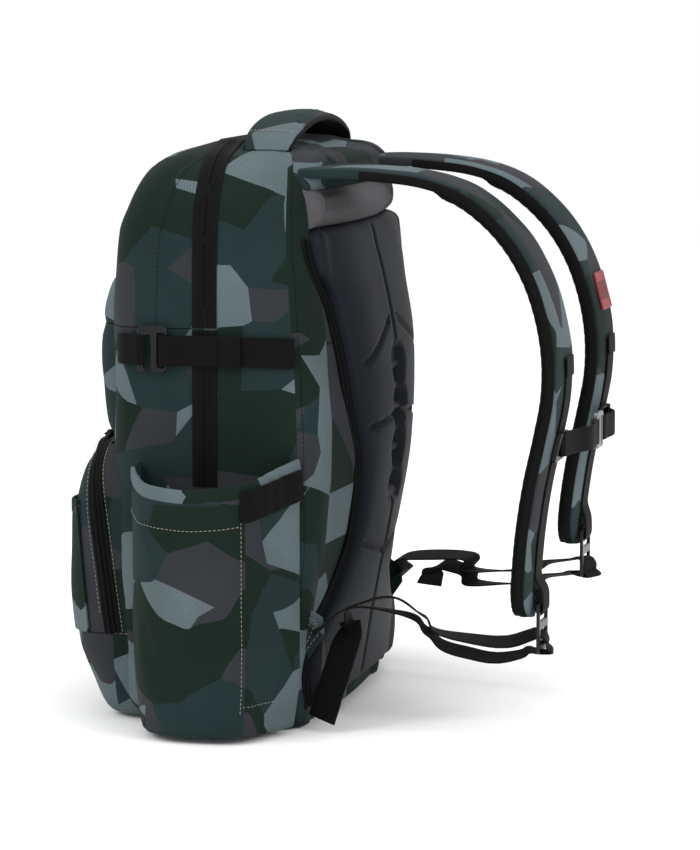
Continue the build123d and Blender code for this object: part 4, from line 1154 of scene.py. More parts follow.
def pillow(x, z, height, power, inset=-99.0):
    """A pad's place on the bag's back: its height falls to nothing at the edges, and it stays inside the
    outline."""
    xx, zz = np.meshgrid(x, z)
    u = np.linspace(-1, 1, len(x))[None]
    v = np.linspace(-1, 1, len(z))[:, None]
    zz = z[0] + (z[-1] - z[0]) * (np.sin(v * math.pi / 2) + 1) / 2 + 0 * u
    xx = np.minimum(x[-1], through(SECTIONS, zz[:, 0])[:, :1] - inset) * np.sin(u * math.pi / 2)
    su, sv = np.sin(u * math.pi / 2), np.sin(v * math.pi / 2)
    swell = height * np.clip(1 - np.abs(su) ** power, 0, 1) ** 0.5 * np.clip(1 - np.abs(sv) ** 3, 0, 1) ** 0.5
    base = np.stack([body_y(row, h) for row, h in zip(xx, zz)])
    return xx, zz, base, swell


def make_back_pads():
    """The brushed mesh pad under the yoke and the gathered yoke over it."""
    xx, zz, base, swell = pillow(np.linspace(-124, 124, 120), np.linspace(406.5, 438.5, 24), 9.5, 14.0)
    outer = np.stack((xx, base + 0.3 + swell * (1 + 0.08 * ripple(np.stack((xx, base, zz), axis=2), 30.0,
                                                                  71)), zz), axis=2)
    pad = Cloth()
    pad.between(outer, np.stack((xx, base + 0.25, zz), axis=2))
    piece = pad.build("upper_back_mesh_pad", (MATERIALS["heather"],), "root", "heather_mesh",
                      ("upper_back_pad",))
    inflate(piece, 0.003)
    xx, zz, base, swell = pillow(np.linspace(-123, 123, 260), np.linspace(435.5, 470.0, 34), 10.5, 10.0, 4.0)
    gathers = (
        np.sin(xx * 2 * math.pi / 8.0 + 1.5 * np.sin(xx / 17.0))
        * np.exp(-(((zz - 443) / 13) ** 2)) * 1.5
    )
    shoulder = 3.0 * (np.exp(-(((xx - 88) / 30) ** 2)) + np.exp(-(((xx + 88) / 30) ** 2)))
    outer = np.stack((xx, base + 0.3 + swell * (1 + 0.1 * shoulder) + gathers * (swell / 10.5), zz), axis=2)
    yoke = Cloth()
    yoke.between(outer, np.stack((xx, base + 0.25, zz), axis=2), panel=31.0)
    piece = yoke.build("gathered_yoke", (MATERIALS["camo"],), "root", "camo_fabric", ("yoke_pad",))
    inflate(piece, 0.0025)


# The cloth simulation: its pressure, its length in frames, how deep inside a pad each probing ray starts,
# and how much longer than the cap the ray is, in metres.
PRESSURE = 4.0
SWELL_FRAMES = 20
PROBE_START = 0.003
PROBE_REACH = 0.006


def inflate(piece, cap, voxel=0.004):
    """Swells a closed pad with pressure in a short cloth simulation; no point moves further than the cap.

    A point whose ray meets no swollen surface stays where it is, so neighbours can differ by up to the cap.
    """
    scene = bpy.context.scene
    work = piece.copy()
    work.data = piece.data.copy()
    scene.collection.objects.link(work)
    remesh = work.modifiers.new("remesh", "REMESH")
    remesh.mode = "VOXEL"
    remesh.voxel_size = voxel
    cloth = work.modifiers.new("cloth", "CLOTH")
    cloth.settings.use_pressure = True
    cloth.settings.uniform_pressure_force = PRESSURE
    cloth.settings.effector_weights.gravity = 0.0
    cloth.point_cache.frame_start, cloth.point_cache.frame_end = 1, SWELL_FRAMES
    for step in range(1, SWELL_FRAMES + 1):
        scene.frame_set(step)
    swollen = bpy.data.meshes.new_from_object(work.evaluated_get(bpy.context.evaluated_depsgraph_get()))
    tree = BVHTree.FromPolygons([v.co for v in swollen.vertices],
                                [tuple(p.vertices) for p in swollen.polygons])
    for vertex in piece.data.vertices:
        out = vertex.normal.copy()
        hit = tree.ray_cast(vertex.co - out * PROBE_START, out, cap + PROBE_REACH)
        if hit[0] is not None:
            vertex.co += out * min(max(hit[3] - PROBE_START, 0.0), cap)
    piece.data.update()
    bpy.data.objects.remove(work)
    bpy.data.meshes.remove(swollen)
    scene.frame_set(1)


def make_haul_handle():
    """The padded handle over the top: two arched bands, the upper one crowned, the lower one in spacer
    mesh."""
    x = np.linspace(93.0, -93.0, 90)
    arch = 1 - (np.abs(x) / 88.0) ** 2.0
    z = 471.5 + 15.5 * arch - 0.018 * np.clip(np.abs(x) - 78, 0, None) ** 2
    path = np.stack((x, np.full_like(x, 16.0), z), axis=1)
    s = np.linspace(-1, 1, 90)
    width = 44.0 - 6.0 * np.abs(s) ** 6
    taper = 1.0 - 0.6 * np.abs(s) ** 8
    pad = Cloth()
    pad.tube(sweep(path, (0, 1, 0), round_profile(1.0, 2.3, 7.6, 40, 3.2, 1.2), width, taper), panel=33.0)
    piece = pad.build("haul_handle_top", (MATERIALS["camo"],), "root", "camo_fabric", ("haul_handle_pad",))
    inflate(piece, 0.0015)
    under = Cloth()
    under.tube(sweep(path, (0, 1, 0), round_profile(1.0, -0.3, 2.6, 32, 3.5), width - 1.5, taper))
    under.build("haul_handle_underside", (MATERIALS["mesh"],), "root", "spacer_mesh", ("haul_handle_lining",))
    binding = Cloth()
    for offset in (0.5, -0.5):
        edge = path + np.stack((np.zeros(90), width * offset, np.full(90, 2.6)), axis=1)
        binding.tube(sweep(edge, (0, 1, 0), round_profile(2.6, -1.7, 1.7, 12, 2.0)))
    binding.build("haul_handle_edging", (MATERIALS["tape"],), "root", "binding_tape")


# ---------------------------------------------------------------- pieces: shoulder straps
STRAP_X = 88.0
STRAP_WIDTH = 66.0
MESH_FROM = 165.0


def strap_line(side, count, from_y=None):
    """Points down a strap's middle line to its tip, or from a place along its top run."""
    fine = smooth_path(STRAP_LINE, 900)
    keep = (fine[:, 1] >= STRAP_TIP[side]) | (fine[:, 0] < 200)
    if from_y is not None:
        keep &= (fine[:, 0] >= from_y) | (fine[:, 1] < 400)
    flat = even_path(fine[keep], count)
    return np.stack((np.full(count, STRAP_X * SIDES[side]), flat[:, 0], flat[:, 1]), axis=1)


def strap_width(path):
    """Full width along the strap, closing as a half ellipse over the last 30 mm."""
    left = lengths(path)[-1] - lengths(path)
    return STRAP_WIDTH * np.sqrt(np.clip(1 - (1 - np.clip(left / 30.0, 0.02, 1)) ** 2, 0, 1))


def make_straps():
    """Each shoulder strap: crowned outer cloth, embossed mesh inside, edging and webbing."""
    for side, sign in SIDES.items():
        path = strap_line(side, 220)
        width = strap_width(path)
        cover = Cloth()
        root = np.clip((path[:, 1] - 60) / 60, 0, 1) * np.ones(len(path))
        root = np.where(path[:, 2] < 430, 1.0, root)
        profile = round_profile(1.0, 0.7, 7.2, 44, 3.4)
        crown = 1.3 * (1 - (2 * profile[:, 0]) ** 2) * (profile[:, 1] > 4)
        rows = np.stack((np.broadcast_to(profile[:, 0], (220, 44)), profile[:, 1] + crown * root[:, None]),
                        axis=2)
        thin = path[:, 1] < MESH_FROM
        low = np.where(rows[..., 1] < 3.9, 1.0, 0.0) * np.where(thin & (path[:, 2] > 420), 1.0, 0.0)[:, None]
        rows[..., 1] = rows[..., 1] - low * 3.2
        grid = sweep(path, (1, 0, 0), rows, width)
        wrinkle = 0.55 * ripple(grid, 34.0, 81 if sign > 0 else 82) * (rows[..., 1] > 4)
        grid = grid + unit(grid - path[:, None]) * wrinkle[..., None]
        cover.tube(grid, panel=41.0 if sign > 0 else 47.0)
        piece = cover.build(f"strap_cloth_{side}", (MATERIALS["camo_strap"],), None, "camo_fabric",
                            (f"strap_cover_{side}",))
        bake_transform(piece)
        inner = strap_line(side, 300, MESH_FROM - 8)
        run = lengths(inner)
        narrow = strap_width(inner) - 2.5
        loop = round_profile(1.0, -8.4, 0.9, 60, 3.2)
        start = np.clip(run / 14.0, 0.05, 1) ** 0.5
        offset = loop[:, 0][None] * narrow[:, None]
        wave = np.abs(((run[:, None] - np.abs(offset) * 0.9) / 9.0) % 1.0 - 0.5) * 2
        emboss = 1.3 * np.clip(wave * 2 - 0.6, 0,
                               1) * np.clip(1 - (np.abs(offset) / (narrow[:, None] / 2 + 0.1)) ** 6, 0, 1)
        depth = np.where(loop[:, 1] < -3, loop[:, 1] + emboss, loop[:, 1])
        depth = 0.9 - (0.9 - depth) * start[:, None]
        mesh = Cloth()
        mesh.tube(sweep(inner, (1, 0, 0), np.stack((np.broadcast_to(loop[:, 0], depth.shape), depth), axis=2),
                        narrow))
        piece = mesh.build(f"strap_lining_{side}", (MATERIALS["mesh"],), f"strap_{side}", "spacer_mesh",
                           (f"strap_mesh_{side}",))
        edge = strap_line(side, 260, 100.0)
        tangent = unit(np.gradient(edge, axis=0))
        up = np.cross((1.0, 0.0, 0.0), tangent)
        reach = strap_width(edge)[:, None] / 2 * np.array((1.0, 0.0, 0.0))
        line = np.concatenate((edge + reach + up * 1.0, (edge - reach + up * 1.0)[::-1]))
        up = np.concatenate((up, up[::-1]))
        line = smoothed(line, 2)
        binding = Cloth()
        binding.tube(sweep(line, up, round_profile(7.6, -1.5, 1.5, 14, 2.6)))
        binding.build(f"strap_edging_{side}", (MATERIALS["tape"],), f"strap_{side}", "binding_tape")
        make_strap_webbing(side)


def outer_line(side, distance, low, high):
    """Points on the outside of a strap at a distance from its middle line, between two heights, with their
    normals."""
    path = strap_line(side, 500)
    tangent = unit(np.gradient(path, axis=0))
    up = np.cross((1.0, 0.0, 0.0), tangent)
    keep = (path[:, 2] >= low) & (path[:, 2] <= high) & (path[:, 1] > 200)
    return (path + up * distance)[keep], up[keep]


def make_strap_webbing(side):
    """Webbing down the outside of the strap, its sewn top, and its tongue round the glide's top bar."""
    x, glide = STRAP_X * SIDES[side], BUCKLE_Z[side]
    line, _ = outer_line(side, 9.5, glide + 42.0, 304.0)
    flat = line[:, 1:]
    bend = np.array(
        ((247.6, glide + 27.0), (247.9, glide + 21.0), (246.9, glide + 12.0), (245.0, glide + 9.6),
         (243.0, glide + 12.0), (242.2, glide + 20.0),
         (242.6, glide + 30.0))
    )
    route = smooth_path(np.concatenate((flat[::12], flat[-1:], bend)), 220)
    web = Cloth()
    points = np.stack((np.full(220, x), route[:, 0], route[:, 1]), axis=1)
    ribbon(web, points, (1, 0, 0), 25.0, 1.6)
    top, _ = outer_line(side, 10.8, 290.0, 306.0)
    ribbon(web, even_path(top, 14), (1, 0, 0), 27.0, 1.4)
    web.build(f"strap_ribbon_{side}", (MATERIALS["webbing"],), f"strap_{side}", "black_webbing",
              (f"strap_webbing_{side}",))


def make_label():
    """The moulded label: a frame and a row of plain bars standing on a flat base."""
    u = np.linspace(-18.0, 18.0, 73)[None, :]
    v = np.linspace(-16.0, 16.0, 65)[:, None]
    frame_edge = np.maximum(np.abs(u) / 18.0, np.abs(v) / 16.0)
    raised = 0.5 * (frame_edge > 0.9)
    bars = (np.abs(v) < 8.0) * (np.abs(u) < 14.0) * (np.abs((u + 14.0) % 7.0 - 3.5) < 2.1)
    height = 1.0 + np.maximum(raised, 0.5 * bars) - 0.5 * (frame_edge > 0.985)
    middle, up = outer_line("left", 8.6, 340.0, 342.0)
    centre, up = middle.mean(axis=0), unit(up.mean(axis=0))
    down = np.cross(up, (1.0, 0.0, 0.0))
    place = lambda h: centre + u[..., None] * np.array((1.0, 0, 0)) + v[..., None] * down + h[..., None] * up
    label = Cloth()
    label.between(place(height), place(0 * height - 0.1))
    piece = label.build("strap_label_relief", (MATERIALS["rubber"], MATERIALS["rubber_black"]), "strap_left",
                        "label_rubber", ("strap_label",))
    centres = np.zeros(len(piece.data.polygons) * 3)
    piece.data.polygons.foreach_get("center", centres)
    local = centres.reshape(-1, 3) / MM - centre
    across, along, out = local[:, 0], local @ down, local @ up
    on_bar = (
        (np.abs(along) < 7.9) & (np.abs(across) < 14)
        & (np.abs((across + 14.0) % 7.0 - 3.5) < 2.2) & (out > 0.9)
    )
    piece.data.polygons.foreach_set("material_index", on_bar.astype(np.int32))


# ---------------------------------------------------------------- pieces: lower webbing
WEB_FOOT = np.array((134.0, 76.0, 0.0))
WEB_SPAN = np.array((-46.0, 169.0, 0.0))
UPPER_RUN = {
    "right": ((-0.06, 80.0), (0.0, 88.0), (0.13, 103.0), (0.27, 110.0), (0.45, 95.0), (0.63, 77.0),
              (0.8, 73.0), (0.95, 79.0)),
    "left": ((-0.06, 80.0), (0.0, 88.0), (0.13, 103.0), (0.27, 105.0), (0.42, 93.0), (0.6, 96.0),
             (0.8, 107.0), (0.95, 112.0)),
}
LOWER_RUN = {
    "right": ((0.95, 67.0), (0.9, 63.0), (0.8, 60.0), (0.64, 65.0), (0.47, 82.0), (0.32, 98.0),
              (0.22, 101.0)),
    "left": ((0.95, 101.0), (0.9, 98.0), (0.8, 95.0), (0.62, 85.0), (0.45, 82.0), (0.32, 93.0), (0.22, 96.0)),
}
FREE_END = {"right": ((0.12, 80.0), (0.05, 48.0), (-0.02, 9.0)),
            "left": ((0.17, 93.0), (0.145, 85.0), (0.13, 77.0))}


def make_lower_webbing():
    """The webbing from the wing to the glide, round its lower bar and back, and its free end that hangs by
    the bag."""
    across = unit(np.cross(WEB_SPAN, (0, 0, 1.0)))
    for side, sign in SIDES.items():
        glide = BUCKLE_Z[side]
        turn = ((0.985, glide - 6.0), (1.002, glide - 7.0), (1.02, glide - 10.0), (1.024, glide - 17.0),
                (1.008, glide - 22.0), (0.98, glide - 21.5))
        flat = smooth_path(UPPER_RUN[side] + turn + LOWER_RUN[side] + FREE_END[side], 460)
        path = WEB_FOOT + flat[:, :1] * WEB_SPAN + flat[:, 1:] * np.array((0, 0, 1.0))
        tangent = unit(np.gradient(path, axis=0))
        steep = np.cross(across, tangent)
        on_tail = np.clip((0.2 - flat[:, 0]) / 0.12, 0, 1) * (np.arange(460) > 300)
        on_tail = on_tail**2 * (3 - 2 * on_tail)
        wobble = 0.22 * np.sin(lengths(path) / 38.0)
        angle = (on_tail * math.radians(58) + wobble * (1 - on_tail))[:, None]
        width = across * np.cos(angle) + steep * np.sin(angle)
        web = Cloth()
        ribbon(web, mirrored(path, sign), mirrored(width, sign), 25.0, 1.6)
        tip, lay = path[-70:], width[-70:]
        out = np.cross(lay, tangent[-70:])
        tip = even_path(tip[-36:] + out[-36:] * 1.7, 30)
        ribbon(web, mirrored(tip, sign), mirrored(lay[-30:], sign), 24.0, 1.5)
        piece = web.build(f"adjuster_ribbon_{side}", (MATERIALS["webbing"],), None, "black_webbing",
                          (f"adjuster_webbing_{side}", f"adjuster_return_{side}"))
        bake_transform(piece)
        wing = Cloth()
        y0, z0 = np.array((44.0, 47.0, 60.0, 72.0, 73.5)), np.array((104.0, 106.0, 99.0, 92.0, 78.0))
        y1, z1 = np.array((44.0, 45.0, 50.0, 60.0, 73.0)), np.array((44.0, 43.0, 44.0, 58.0, 77.0))
        t = np.linspace(0, 1, 13)[:, None]
        s = np.linspace(0, 4, 17)
        top = np.stack((np.interp(s, range(5), y0), np.interp(s, range(5), z0)), axis=1)
        foot = np.stack((np.interp(s, range(5), y1), np.interp(s, range(5), z1)), axis=1)
        yz = top[None] * (1 - t[..., None]) + foot[None] * t[..., None]
        x = (
            130.6 + 0.7 * np.sin(t * math.pi) * np.sin(s / 4 * math.pi)[None]
            + 0.25 * ripple(np.concatenate((yz, yz[..., :1]), axis=2), 22.0, 91)
        )
        grid = np.concatenate((x[..., None], yz), axis=2)
        wing.between(mirrored(grid, sign), mirrored(grid - (3.2, 0, 0), sign), panel=51.0 + sign)
        wing.build(f"anchor_wing_cloth_{side}", (MATERIALS["camo"],), "root", "camo_fabric",
                   (f"anchor_wing_{side}",))


# ---------------------------------------------------------------- pieces: chest strap and lining
STERNUM_Z = 236.0
STERNUM_Y = 272.0


def make_chest_strap():
    """Both halves of the chest strap, bowed outwards, each round its bar of the hook and back on itself."""
    start, _ = outer_line("right", 16.0, 235.5, 236.5)
    y = start[:, 1].mean()
    for side, sign, bar in (("right", 1.0, 9.2), ("left", -1.0, 12.8)):
        far = STRAP_X + 6.0
        route = ((far, y), (far - 26.0, y + 5.6), ((far + bar) / 2, STERNUM_Y + 3.6),
                 (bar + 10.0, STERNUM_Y + 3.0), (bar + 2.0, STERNUM_Y + 2.8),
                 (bar - 1.6, STERNUM_Y + 0.6), (bar, STERNUM_Y - 2.6), (bar + 6.0, STERNUM_Y - 1.6),
                 (bar + 14.0, STERNUM_Y + 1.0), (bar + 24.0, STERNUM_Y + 2.2))
        flat = smooth_path(route, 120)
        path = np.stack((flat[:, 0] * sign, flat[:, 1], np.full(120, STERNUM_Z)), axis=1)
        web = Cloth()
        ribbon(web, path, (0, 0, 1.0), 20.0, 1.5)
        back = smooth_path(((far, y - 0.2), (far + 2.4, y - 2.2), (far, y - 4.0), (far - 12.0, y - 3.8)), 30)
        ribbon(web, np.stack((back[:, 0] * sign, back[:, 1], np.full(30, STERNUM_Z)), axis=1), (0, 0, 1.0),
               20.0, 1.5)
        web.build(f"chest_ribbon_{side}", (MATERIALS["webbing"],), "sternum_strap", "black_webbing",
                  (f"sternum_webbing_{side}",))


def make_divider():
    """The quilted divider inside the rear wall: a flat pad with diagonal stitched channels and an open
    top."""
    x, z = np.meshgrid(np.linspace(-136, 136, 110), np.linspace(15, 313, 110))
    quilt = np.abs(np.sin((x + z) * math.pi / 46)) ** 0.5 * np.abs(np.sin((x - z) * math.pi / 46)) ** 0.5
    rim = np.clip((1 - np.maximum(np.abs(x) / 136, np.abs(z - 164) / 149)) * 30, 0, 1)
    front = np.stack((x, 31.8 - 1.6 * quilt * rim, z), axis=2)
    rear = np.stack((x, 32.2 + 1.6 * quilt * rim, z), axis=2)
    pad = Cloth()
    pad.between(front, rear)
    piece = pad.build("quilted_divider", (MATERIALS["lining"],), "root", "lining_fabric", ("divider_sleeve",))


# ---------------------------------------------------------------- pieces: stitching and hard parts
def grid_line(grid, up, column, share, rows):
    """A line between two columns of a grid, at a share of the way, with its normals."""
    a, b = grid[rows, column], grid[rows, column + 1]
    return a + (b - a) * share, up[rows, column]


def make_stitching(settings):
    """Thread runs along the seams, hems and boxes, on the body that each one belongs to."""
    root, pocket, flap, dark = Cloth(), Cloth(), Cloth(), Cloth()
    bottle, seam = SHAPES["bottle"], SHAPES["bottle_seam"]
    up = outward(bottle, (160.0, -15.0, 110.0))
    rear = SHAPES["rear"]
    rear_up = outward(rear, CORE)
    top, top_up = SHAPES["front"], outward(SHAPES["front"], CORE)
    grid = SHAPES["pocket"]
    grid_up = outward(grid, (0.0, -90.0, 110.0))
    side_seam = COUNTS["rear_side"]
    count = rear.shape[1] - 1
    for sign in (1.0, -1.0):
        flip = np.array((sign, 1.0, 1.0))
        line, lean = grid_line(bottle, up, seam - 2, 0.4, slice(8, -1))
        stitch_run(root, line * flip, lean * flip, settings)
        for row, first, last in ((-7, 5, seam - 1), (9, seam - 1, seam + 14)):
            line = bottle[row, first:last]
            stitch_run(root, even_path(line, 160) * flip,
                       np.stack([np.interp(np.linspace(0, 1, 160), np.linspace(0, 1, len(line)),
                                           up[row, first:last,
                                              k]) for k in range(3)], axis=1) * flip, settings)
        column = count - side_seam - 2 if sign > 0 else side_seam + 1
        line, lean = grid_line(rear, rear_up, column, 0.5, slice(UNDER + 8, -8))
        stitch_run(dark, line, lean, settings)
        box = np.array(((51.0, 96.0), (68.0, 89.0), (69.5, 79.0), (52.0, 56.0)))
        box = np.stack((np.full(4, 131.9), box[:, 0], box[:, 1]), axis=1)
        for a, b in ((0, 1), (1, 2), (2, 3), (3, 0), (0, 2), (1, 3)):
            stitch_run(root, even_path(box[[a, b]], 20) * flip, np.array((sign, 0, 0)), settings, 0.4)
    path, side_vectors, lean = SHAPES["pocket_path"], SHAPES["pocket_side"], SHAPES["pocket_up"]
    stitch_run(root, path + side_vectors * 8.6, lean, settings, 0.6)
    stitch_run(pocket, (path - side_vectors * 8.6)[8:-8], lean[8:-8], settings, 0.7)
    slip, slip_up = SHAPES["slip"], SHAPES["slip_up"]
    stitch_run(pocket, even_path((slip[-2] + slip_up[-2] * 2.6)[3:-3], 160), (0, -1, 0), settings, 0.4)
    hinge = int(np.searchsorted(SHAPES["pocket_z"], POCKET_HINGE))
    for columns in (slice(0, 10), slice(-10, None)):
        stitch_run(root, even_path(grid[hinge, columns], 24), grid_up[hinge, columns][4], settings, 0.5)
    for x in (82.0, -82.0):
        y = np.linspace(-3.0, 35.0, 40)
        lift = np.stack((np.full(40, x), y, 482.0 + 1.4 * (1 - ((y - 16) / 20) ** 2)), axis=1)
        stitch_run(root, lift, (math.copysign(0.45, x), 0, 0.9), settings, 0.3)
    fold = UNDER + FLAP_ROW + 1
    for column in (COUNTS["front_side"] - 3, top.shape[1] - 1 - (COUNTS["front_side"] - 3)):
        line, normal = top[fold + 1 : -2, column], top_up[fold + 1 : -2, column]
        stitch_run(flap, line, normal, settings)
    light = (MATERIALS["thread"],)
    root.build("stitching_body", light, "root", "camo_fabric", smooth=True)
    pocket.build("stitching_pocket", light, "pocket_flap", "camo_fabric")
    dark.build("seam_thread_body", (MATERIALS["dark_thread"],), "root", "camo_fabric")
    flap.build("seam_thread_flap", (MATERIALS["dark_thread"],), "main_flap", "camo_fabric")


def finish_hard_parts():
    """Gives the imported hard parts, which keep their shape, the materials of their real finishes."""
    finishes = {
        "coated": ("compression_hook_right", "compression_hook_left", "strap_buckle_right",
                   "strap_buckle_left", "main_zip_slider", "upper_zip_slider", "pocket_zip_slider"),
        "grey": ("sternum_hook",),
        "plastic": ("sternum_keeper_right", "sternum_keeper_left", "main_zip_pull", "upper_zip_pull",
                    "pocket_zip_pull"),
        "sheet": ("base_board", "frame_sheet"),
    }
    for key, nodes in finishes.items():
        for name in nodes:
            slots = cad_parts[name].data.materials
            for index in range(len(slots)):
                slots[index] = MATERIALS[key]


# ---------------------------------------------------------------- stage
def make_stage():
    """Camera, pale floor, soft lights and a white surround."""
    scene = bpy.context.scene
    azimuth, elevation, reach = math.radians(15.0), math.radians(7.5), 3.0
    target = Vector((0.0, 0.0605, 0.2327))
    back = Vector(
        (math.cos(azimuth) * math.cos(elevation), math.sin(azimuth) * math.cos(elevation),
         math.sin(elevation))
    )
    lens = bpy.data.cameras.new("camera")
    lens.lens = 151.2
    camera = bpy.data.objects.new("camera", lens)
    camera.location = target + back * reach
    camera.rotation_euler = back.to_track_quat("Z", "Y").to_euler()
    scene.collection.objects.link(camera)
    scene.camera = camera

    floor_mesh = bpy.data.meshes.new("floor")
    floor_mesh.from_pydata([(-6, -6, 0), (6, -6, 0), (6, 6, 0), (-6, 6, 0)], [], [(0, 1, 2, 3)])
    floor = bpy.data.objects.new("floor", floor_mesh)
    paint, _, shader = material("matte_floor", 0.9, Specular_IOR_Level=0.1)
    shader.inputs["Base Color"].default_value = linear("#ffffff")
    floor_mesh.materials.append(paint)
    floor.location = (0, 0, -0.0015)
    scene.collection.objects.link(floor)

    world = bpy.data.worlds.new("studio")
    world.use_nodes = True
    sky = world.node_tree.nodes["Background"]
    sky.inputs["Color"].default_value = (1.0, 1.0, 1.0, 1.0)
    sky.inputs["Strength"].default_value = 1.0
    scene.world = world
    scene.view_settings.view_transform = "Standard"
    for name, place, size, power, aim in (
        ("key_light", (2.2, -1.6, 2.0), 1.4, 34.0, (0, 0, 0.25)),
        ("rim_light", (1.2, 2.4, 1.6), 1.2, 26.0, (0, 0.1, 0.25)),
        ("top_light", (0.0, 0.2, 2.6), 1.6, 16.0, (0, 0, 0.3)),
    ):
        lamp = bpy.data.lights.new(name, "AREA")
        lamp.size = size
        lamp.energy = power
        light = bpy.data.objects.new(name, lamp)
        light.location = place
        light.rotation_euler = (Vector(place) - Vector(aim)).to_track_quat("Z", "Y").to_euler()
        scene.collection.objects.link(light)


# ---------------------------------------------------------------- user settings
class BagLooks(bpy.types.PropertyGroup):
    """Colours and cloth sizes of the bag."""

    camo_green: bpy.props.StringProperty(name="Camo green", description="Deep green of the print",
                                         default="#101e18")
    camo_slate: bpy.props.StringProperty(name="Camo slate", description="Blue-green grey of the print",
                                         default="#1a292a")
    camo_charcoal: bpy.props.StringProperty(name="Camo charcoal",
                                            description="Neutral dark grey of the print", default="#2b2d31")
    camo_light: bpy.props.StringProperty(name="Camo light", description="Pale grey of the print",
                                         default="#505d60")
    black_cloth: bpy.props.StringProperty(name="Black cloth", description="Webbing and zip tape",
                                          default="#0c0b0b")
    mesh_black: bpy.props.StringProperty(name="Mesh black", description="Spacer mesh", default="#0d0e0f")
    lining: bpy.props.StringProperty(name="Lining", description="Inside of the compartments",
                                     default="#59636a")
    heather: bpy.props.StringProperty(name="Heather mesh", description="Upper back mesh", default="#504f52")
    foam: bpy.props.StringProperty(name="Moulded foam", description="Back panel", default="#0b1118")
    black_plastic: bpy.props.StringProperty(name="Black plastic", description="Keepers and pulls",
                                            default="#0c0d0e")
    black_metal: bpy.props.StringProperty(name="Black metal", description="Coated hooks and glides",
                                          default="#111214")
    grey_metal: bpy.props.StringProperty(name="Grey metal", description="Sternum hook", default="#6f7276")
    thread: bpy.props.StringProperty(name="Thread", description="Contrast stitching", default="#8a867b")
    label_red: bpy.props.StringProperty(name="Label red", description="Rubber strap label", default="#7c141d")
    weave_pitch: bpy.props.FloatProperty(
        name="Weave pitch", description="Spacing of the drawn threads",
        default=0.0024, unit="LENGTH", precision=5
    )


class BagSizes(bpy.types.PropertyGroup):
    """Sizes that a user may change."""

    stitch: bpy.props.FloatProperty(name="Stitch", description="Length of one stitch in mm", default=2.6,
                                    min=1.0, max=8.0)
    gap: bpy.props.FloatProperty(name="Gap", description="Gap between stitches in mm", default=1.1, min=0.3,
                                 max=4.0)


class BAG_OT_stage(bpy.types.Operator):
    """Make the camera, the floor and the studio light"""

    bl_idname = "bag.stage"
    bl_label = "Stage"

    def execute(self, context):
        make_stage()
        return {"FINISHED"}


class BAG_OT_shell(bpy.types.Operator):
    """Make the sewn shell and the main flap"""

    bl_idname = "bag.shell"
    bl_label = "Shell"

    def execute(self, context):
        prepare_materials(context.scene.bag_looks)
        make_shell()
        return {"FINISHED"}


class BAG_OT_zips(bpy.types.Operator):
    """Make the main zip"""

    bl_idname = "bag.zips"
    bl_label = "Main Zip"

    def execute(self, context):
        prepare_materials(context.scene.bag_looks)
        make_zips()
        return {"FINISHED"}


class BAG_OT_upper_pocket(bpy.types.Operator):
    """Make the upper front pocket"""

    bl_idname = "bag.upper_pocket"
    bl_label = "Upper Pocket"

    def execute(self, context):
        prepare_materials(context.scene.bag_looks)
        make_upper_pocket()
        return {"FINISHED"}


class BAG_OT_lower_pocket(bpy.types.Operator):
    """Make the lower front pocket, its flap, zip and slip pocket"""

    bl_idname = "bag.lower_pocket"
    bl_label = "Lower Pocket"

    def execute(self, context):
        prepare_materials(context.scene.bag_looks)
        make_lower_pocket()
        return {"FINISHED"}


class BAG_OT_bottle_pockets(bpy.types.Operator):
    """Make both side pockets"""

    bl_idname = "bag.bottle_pockets"
    bl_label = "Bottle Pockets"

    def execute(self, context):
        prepare_materials(context.scene.bag_looks)
        make_bottle_pockets()
        return {"FINISHED"}


class BAG_OT_compression(bpy.types.Operator):
    """Make both compression straps"""

    bl_idname = "bag.compression"
    bl_label = "Compression Straps"

    def execute(self, context):
        prepare_materials(context.scene.bag_looks)
        make_compression_straps()
        return {"FINISHED"}


class BAG_OT_back_panel(bpy.types.Operator):
    """Make the moulded back panel and its piping"""

    bl_idname = "bag.back_panel"
    bl_label = "Back Panel"

    def execute(self, context):
        prepare_materials(context.scene.bag_looks)
        make_back_panel()
        return {"FINISHED"}


class BAG_OT_back_pads(bpy.types.Operator):
    """Make the mesh pad and the yoke"""

    bl_idname = "bag.back_pads"
    bl_label = "Back Pads"

    def execute(self, context):
        prepare_materials(context.scene.bag_looks)
        make_back_pads()
        return {"FINISHED"}


class BAG_OT_handle(bpy.types.Operator):
    """Make the haul handle"""

    bl_idname = "bag.handle"
    bl_label = "Haul Handle"

    def execute(self, context):
        prepare_materials(context.scene.bag_looks)
        make_haul_handle()
        return {"FINISHED"}


class BAG_OT_straps(bpy.types.Operator):
    """Make both shoulder straps with their webbing"""

    bl_idname = "bag.straps"
    bl_label = "Shoulder Straps"

    def execute(self, context):
        prepare_materials(context.scene.bag_looks)
        make_straps()
        return {"FINISHED"}


class BAG_OT_label(bpy.types.Operator):
    """Make the moulded label"""

    bl_idname = "bag.label"
    bl_label = "Strap Label"

    def execute(self, context):
        prepare_materials(context.scene.bag_looks)
        make_label()
        return {"FINISHED"}


class BAG_OT_lower_webbing(bpy.types.Operator):
    """Make the adjuster webbing and the wings that hold it"""

    bl_idname = "bag.lower_webbing"
    bl_label = "Lower Webbing"

    def execute(self, context):
        prepare_materials(context.scene.bag_looks)
        make_lower_webbing()
        return {"FINISHED"}


class BAG_OT_chest_strap(bpy.types.Operator):
    """Make both halves of the chest strap"""

    bl_idname = "bag.chest_strap"
    bl_label = "Chest Strap"

    def execute(self, context):
        prepare_materials(context.scene.bag_looks)
        make_chest_strap()
        return {"FINISHED"}


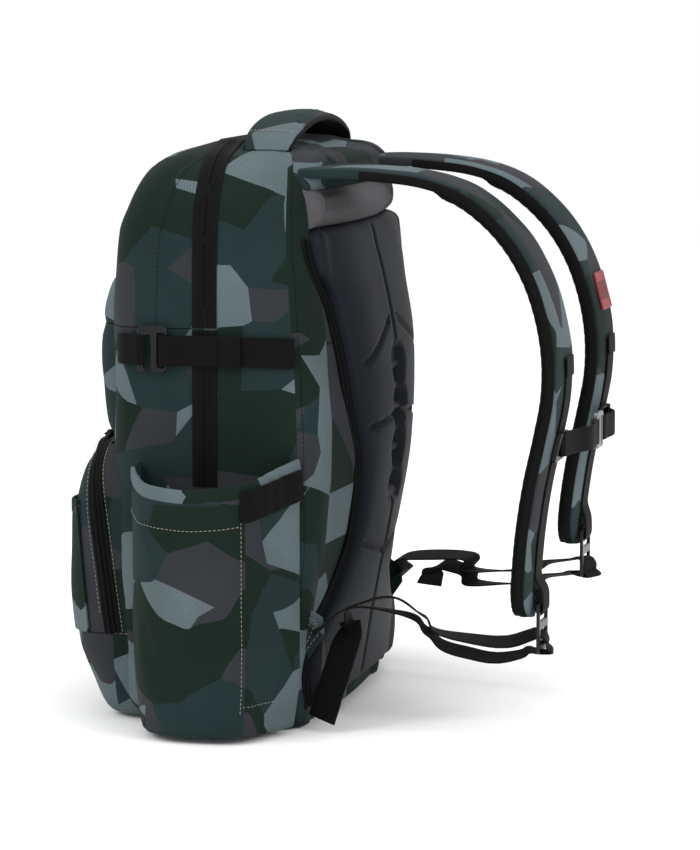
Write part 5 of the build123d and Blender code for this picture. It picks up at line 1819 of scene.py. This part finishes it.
class BAG_OT_divider(bpy.types.Operator):
    """Make the quilted divider"""

    bl_idname = "bag.divider"
    bl_label = "Divider"

    def execute(self, context):
        prepare_materials(context.scene.bag_looks)
        make_divider()
        return {"FINISHED"}


class BAG_OT_stitching(bpy.types.Operator):
    """Make the thread runs"""

    bl_idname = "bag.stitching"
    bl_label = "Stitching"

    def execute(self, context):
        prepare_materials(context.scene.bag_looks)
        make_stitching((context.scene.bag_sizes.stitch, context.scene.bag_sizes.gap))
        return {"FINISHED"}


class BAG_OT_hard_parts(bpy.types.Operator):
    """Finish the hooks, glides, sliders and pulls"""

    bl_idname = "bag.hard_parts"
    bl_label = "Hard Parts"

    def execute(self, context):
        prepare_materials(context.scene.bag_looks)
        finish_hard_parts()
        return {"FINISHED"}


OPERATORS = (
    BAG_OT_stage,
    BAG_OT_shell,
    BAG_OT_zips,
    BAG_OT_upper_pocket,
    BAG_OT_lower_pocket,
    BAG_OT_bottle_pockets,
    BAG_OT_compression,
    BAG_OT_back_panel,
    BAG_OT_back_pads,
    BAG_OT_handle,
    BAG_OT_straps,
    BAG_OT_label,
    BAG_OT_lower_webbing,
    BAG_OT_chest_strap,
    BAG_OT_divider,
    BAG_OT_stitching,
    BAG_OT_hard_parts,
)


class BAG_PT_panel(bpy.types.Panel):
    """Backpack tools"""

    bl_idname = "BAG_PT_panel"
    bl_label = "Tackle Backpack"
    bl_space_type = "VIEW_3D"
    bl_region_type = "UI"
    bl_category = "Backpack"

    def draw(self, context):
        for group in (context.scene.bag_looks, context.scene.bag_sizes):
            for name in group.__annotations__:
                self.layout.prop(group, name)
        for operator in OPERATORS:
            self.layout.operator(operator.bl_idname)


CLASSES = (BagLooks, BagSizes) + OPERATORS + (BAG_PT_panel,)


def register():
    """Registers the add-on's classes and settings."""
    for item in CLASSES:
        bpy.utils.register_class(item)
    bpy.types.Scene.bag_looks = bpy.props.PointerProperty(type=BagLooks)
    bpy.types.Scene.bag_sizes = bpy.props.PointerProperty(type=BagSizes)


def unregister():
    """Removes the add-on's classes and settings."""
    del bpy.types.Scene.bag_sizes
    del bpy.types.Scene.bag_looks
    for item in reversed(CLASSES):
        bpy.utils.unregister_class(item)


def main():
    """Builds every piece."""
    register()
    for operator in OPERATORS:
        getattr(bpy.ops.bag, operator.bl_idname.split(".")[1])()


if __name__ == "__main__":
    main()
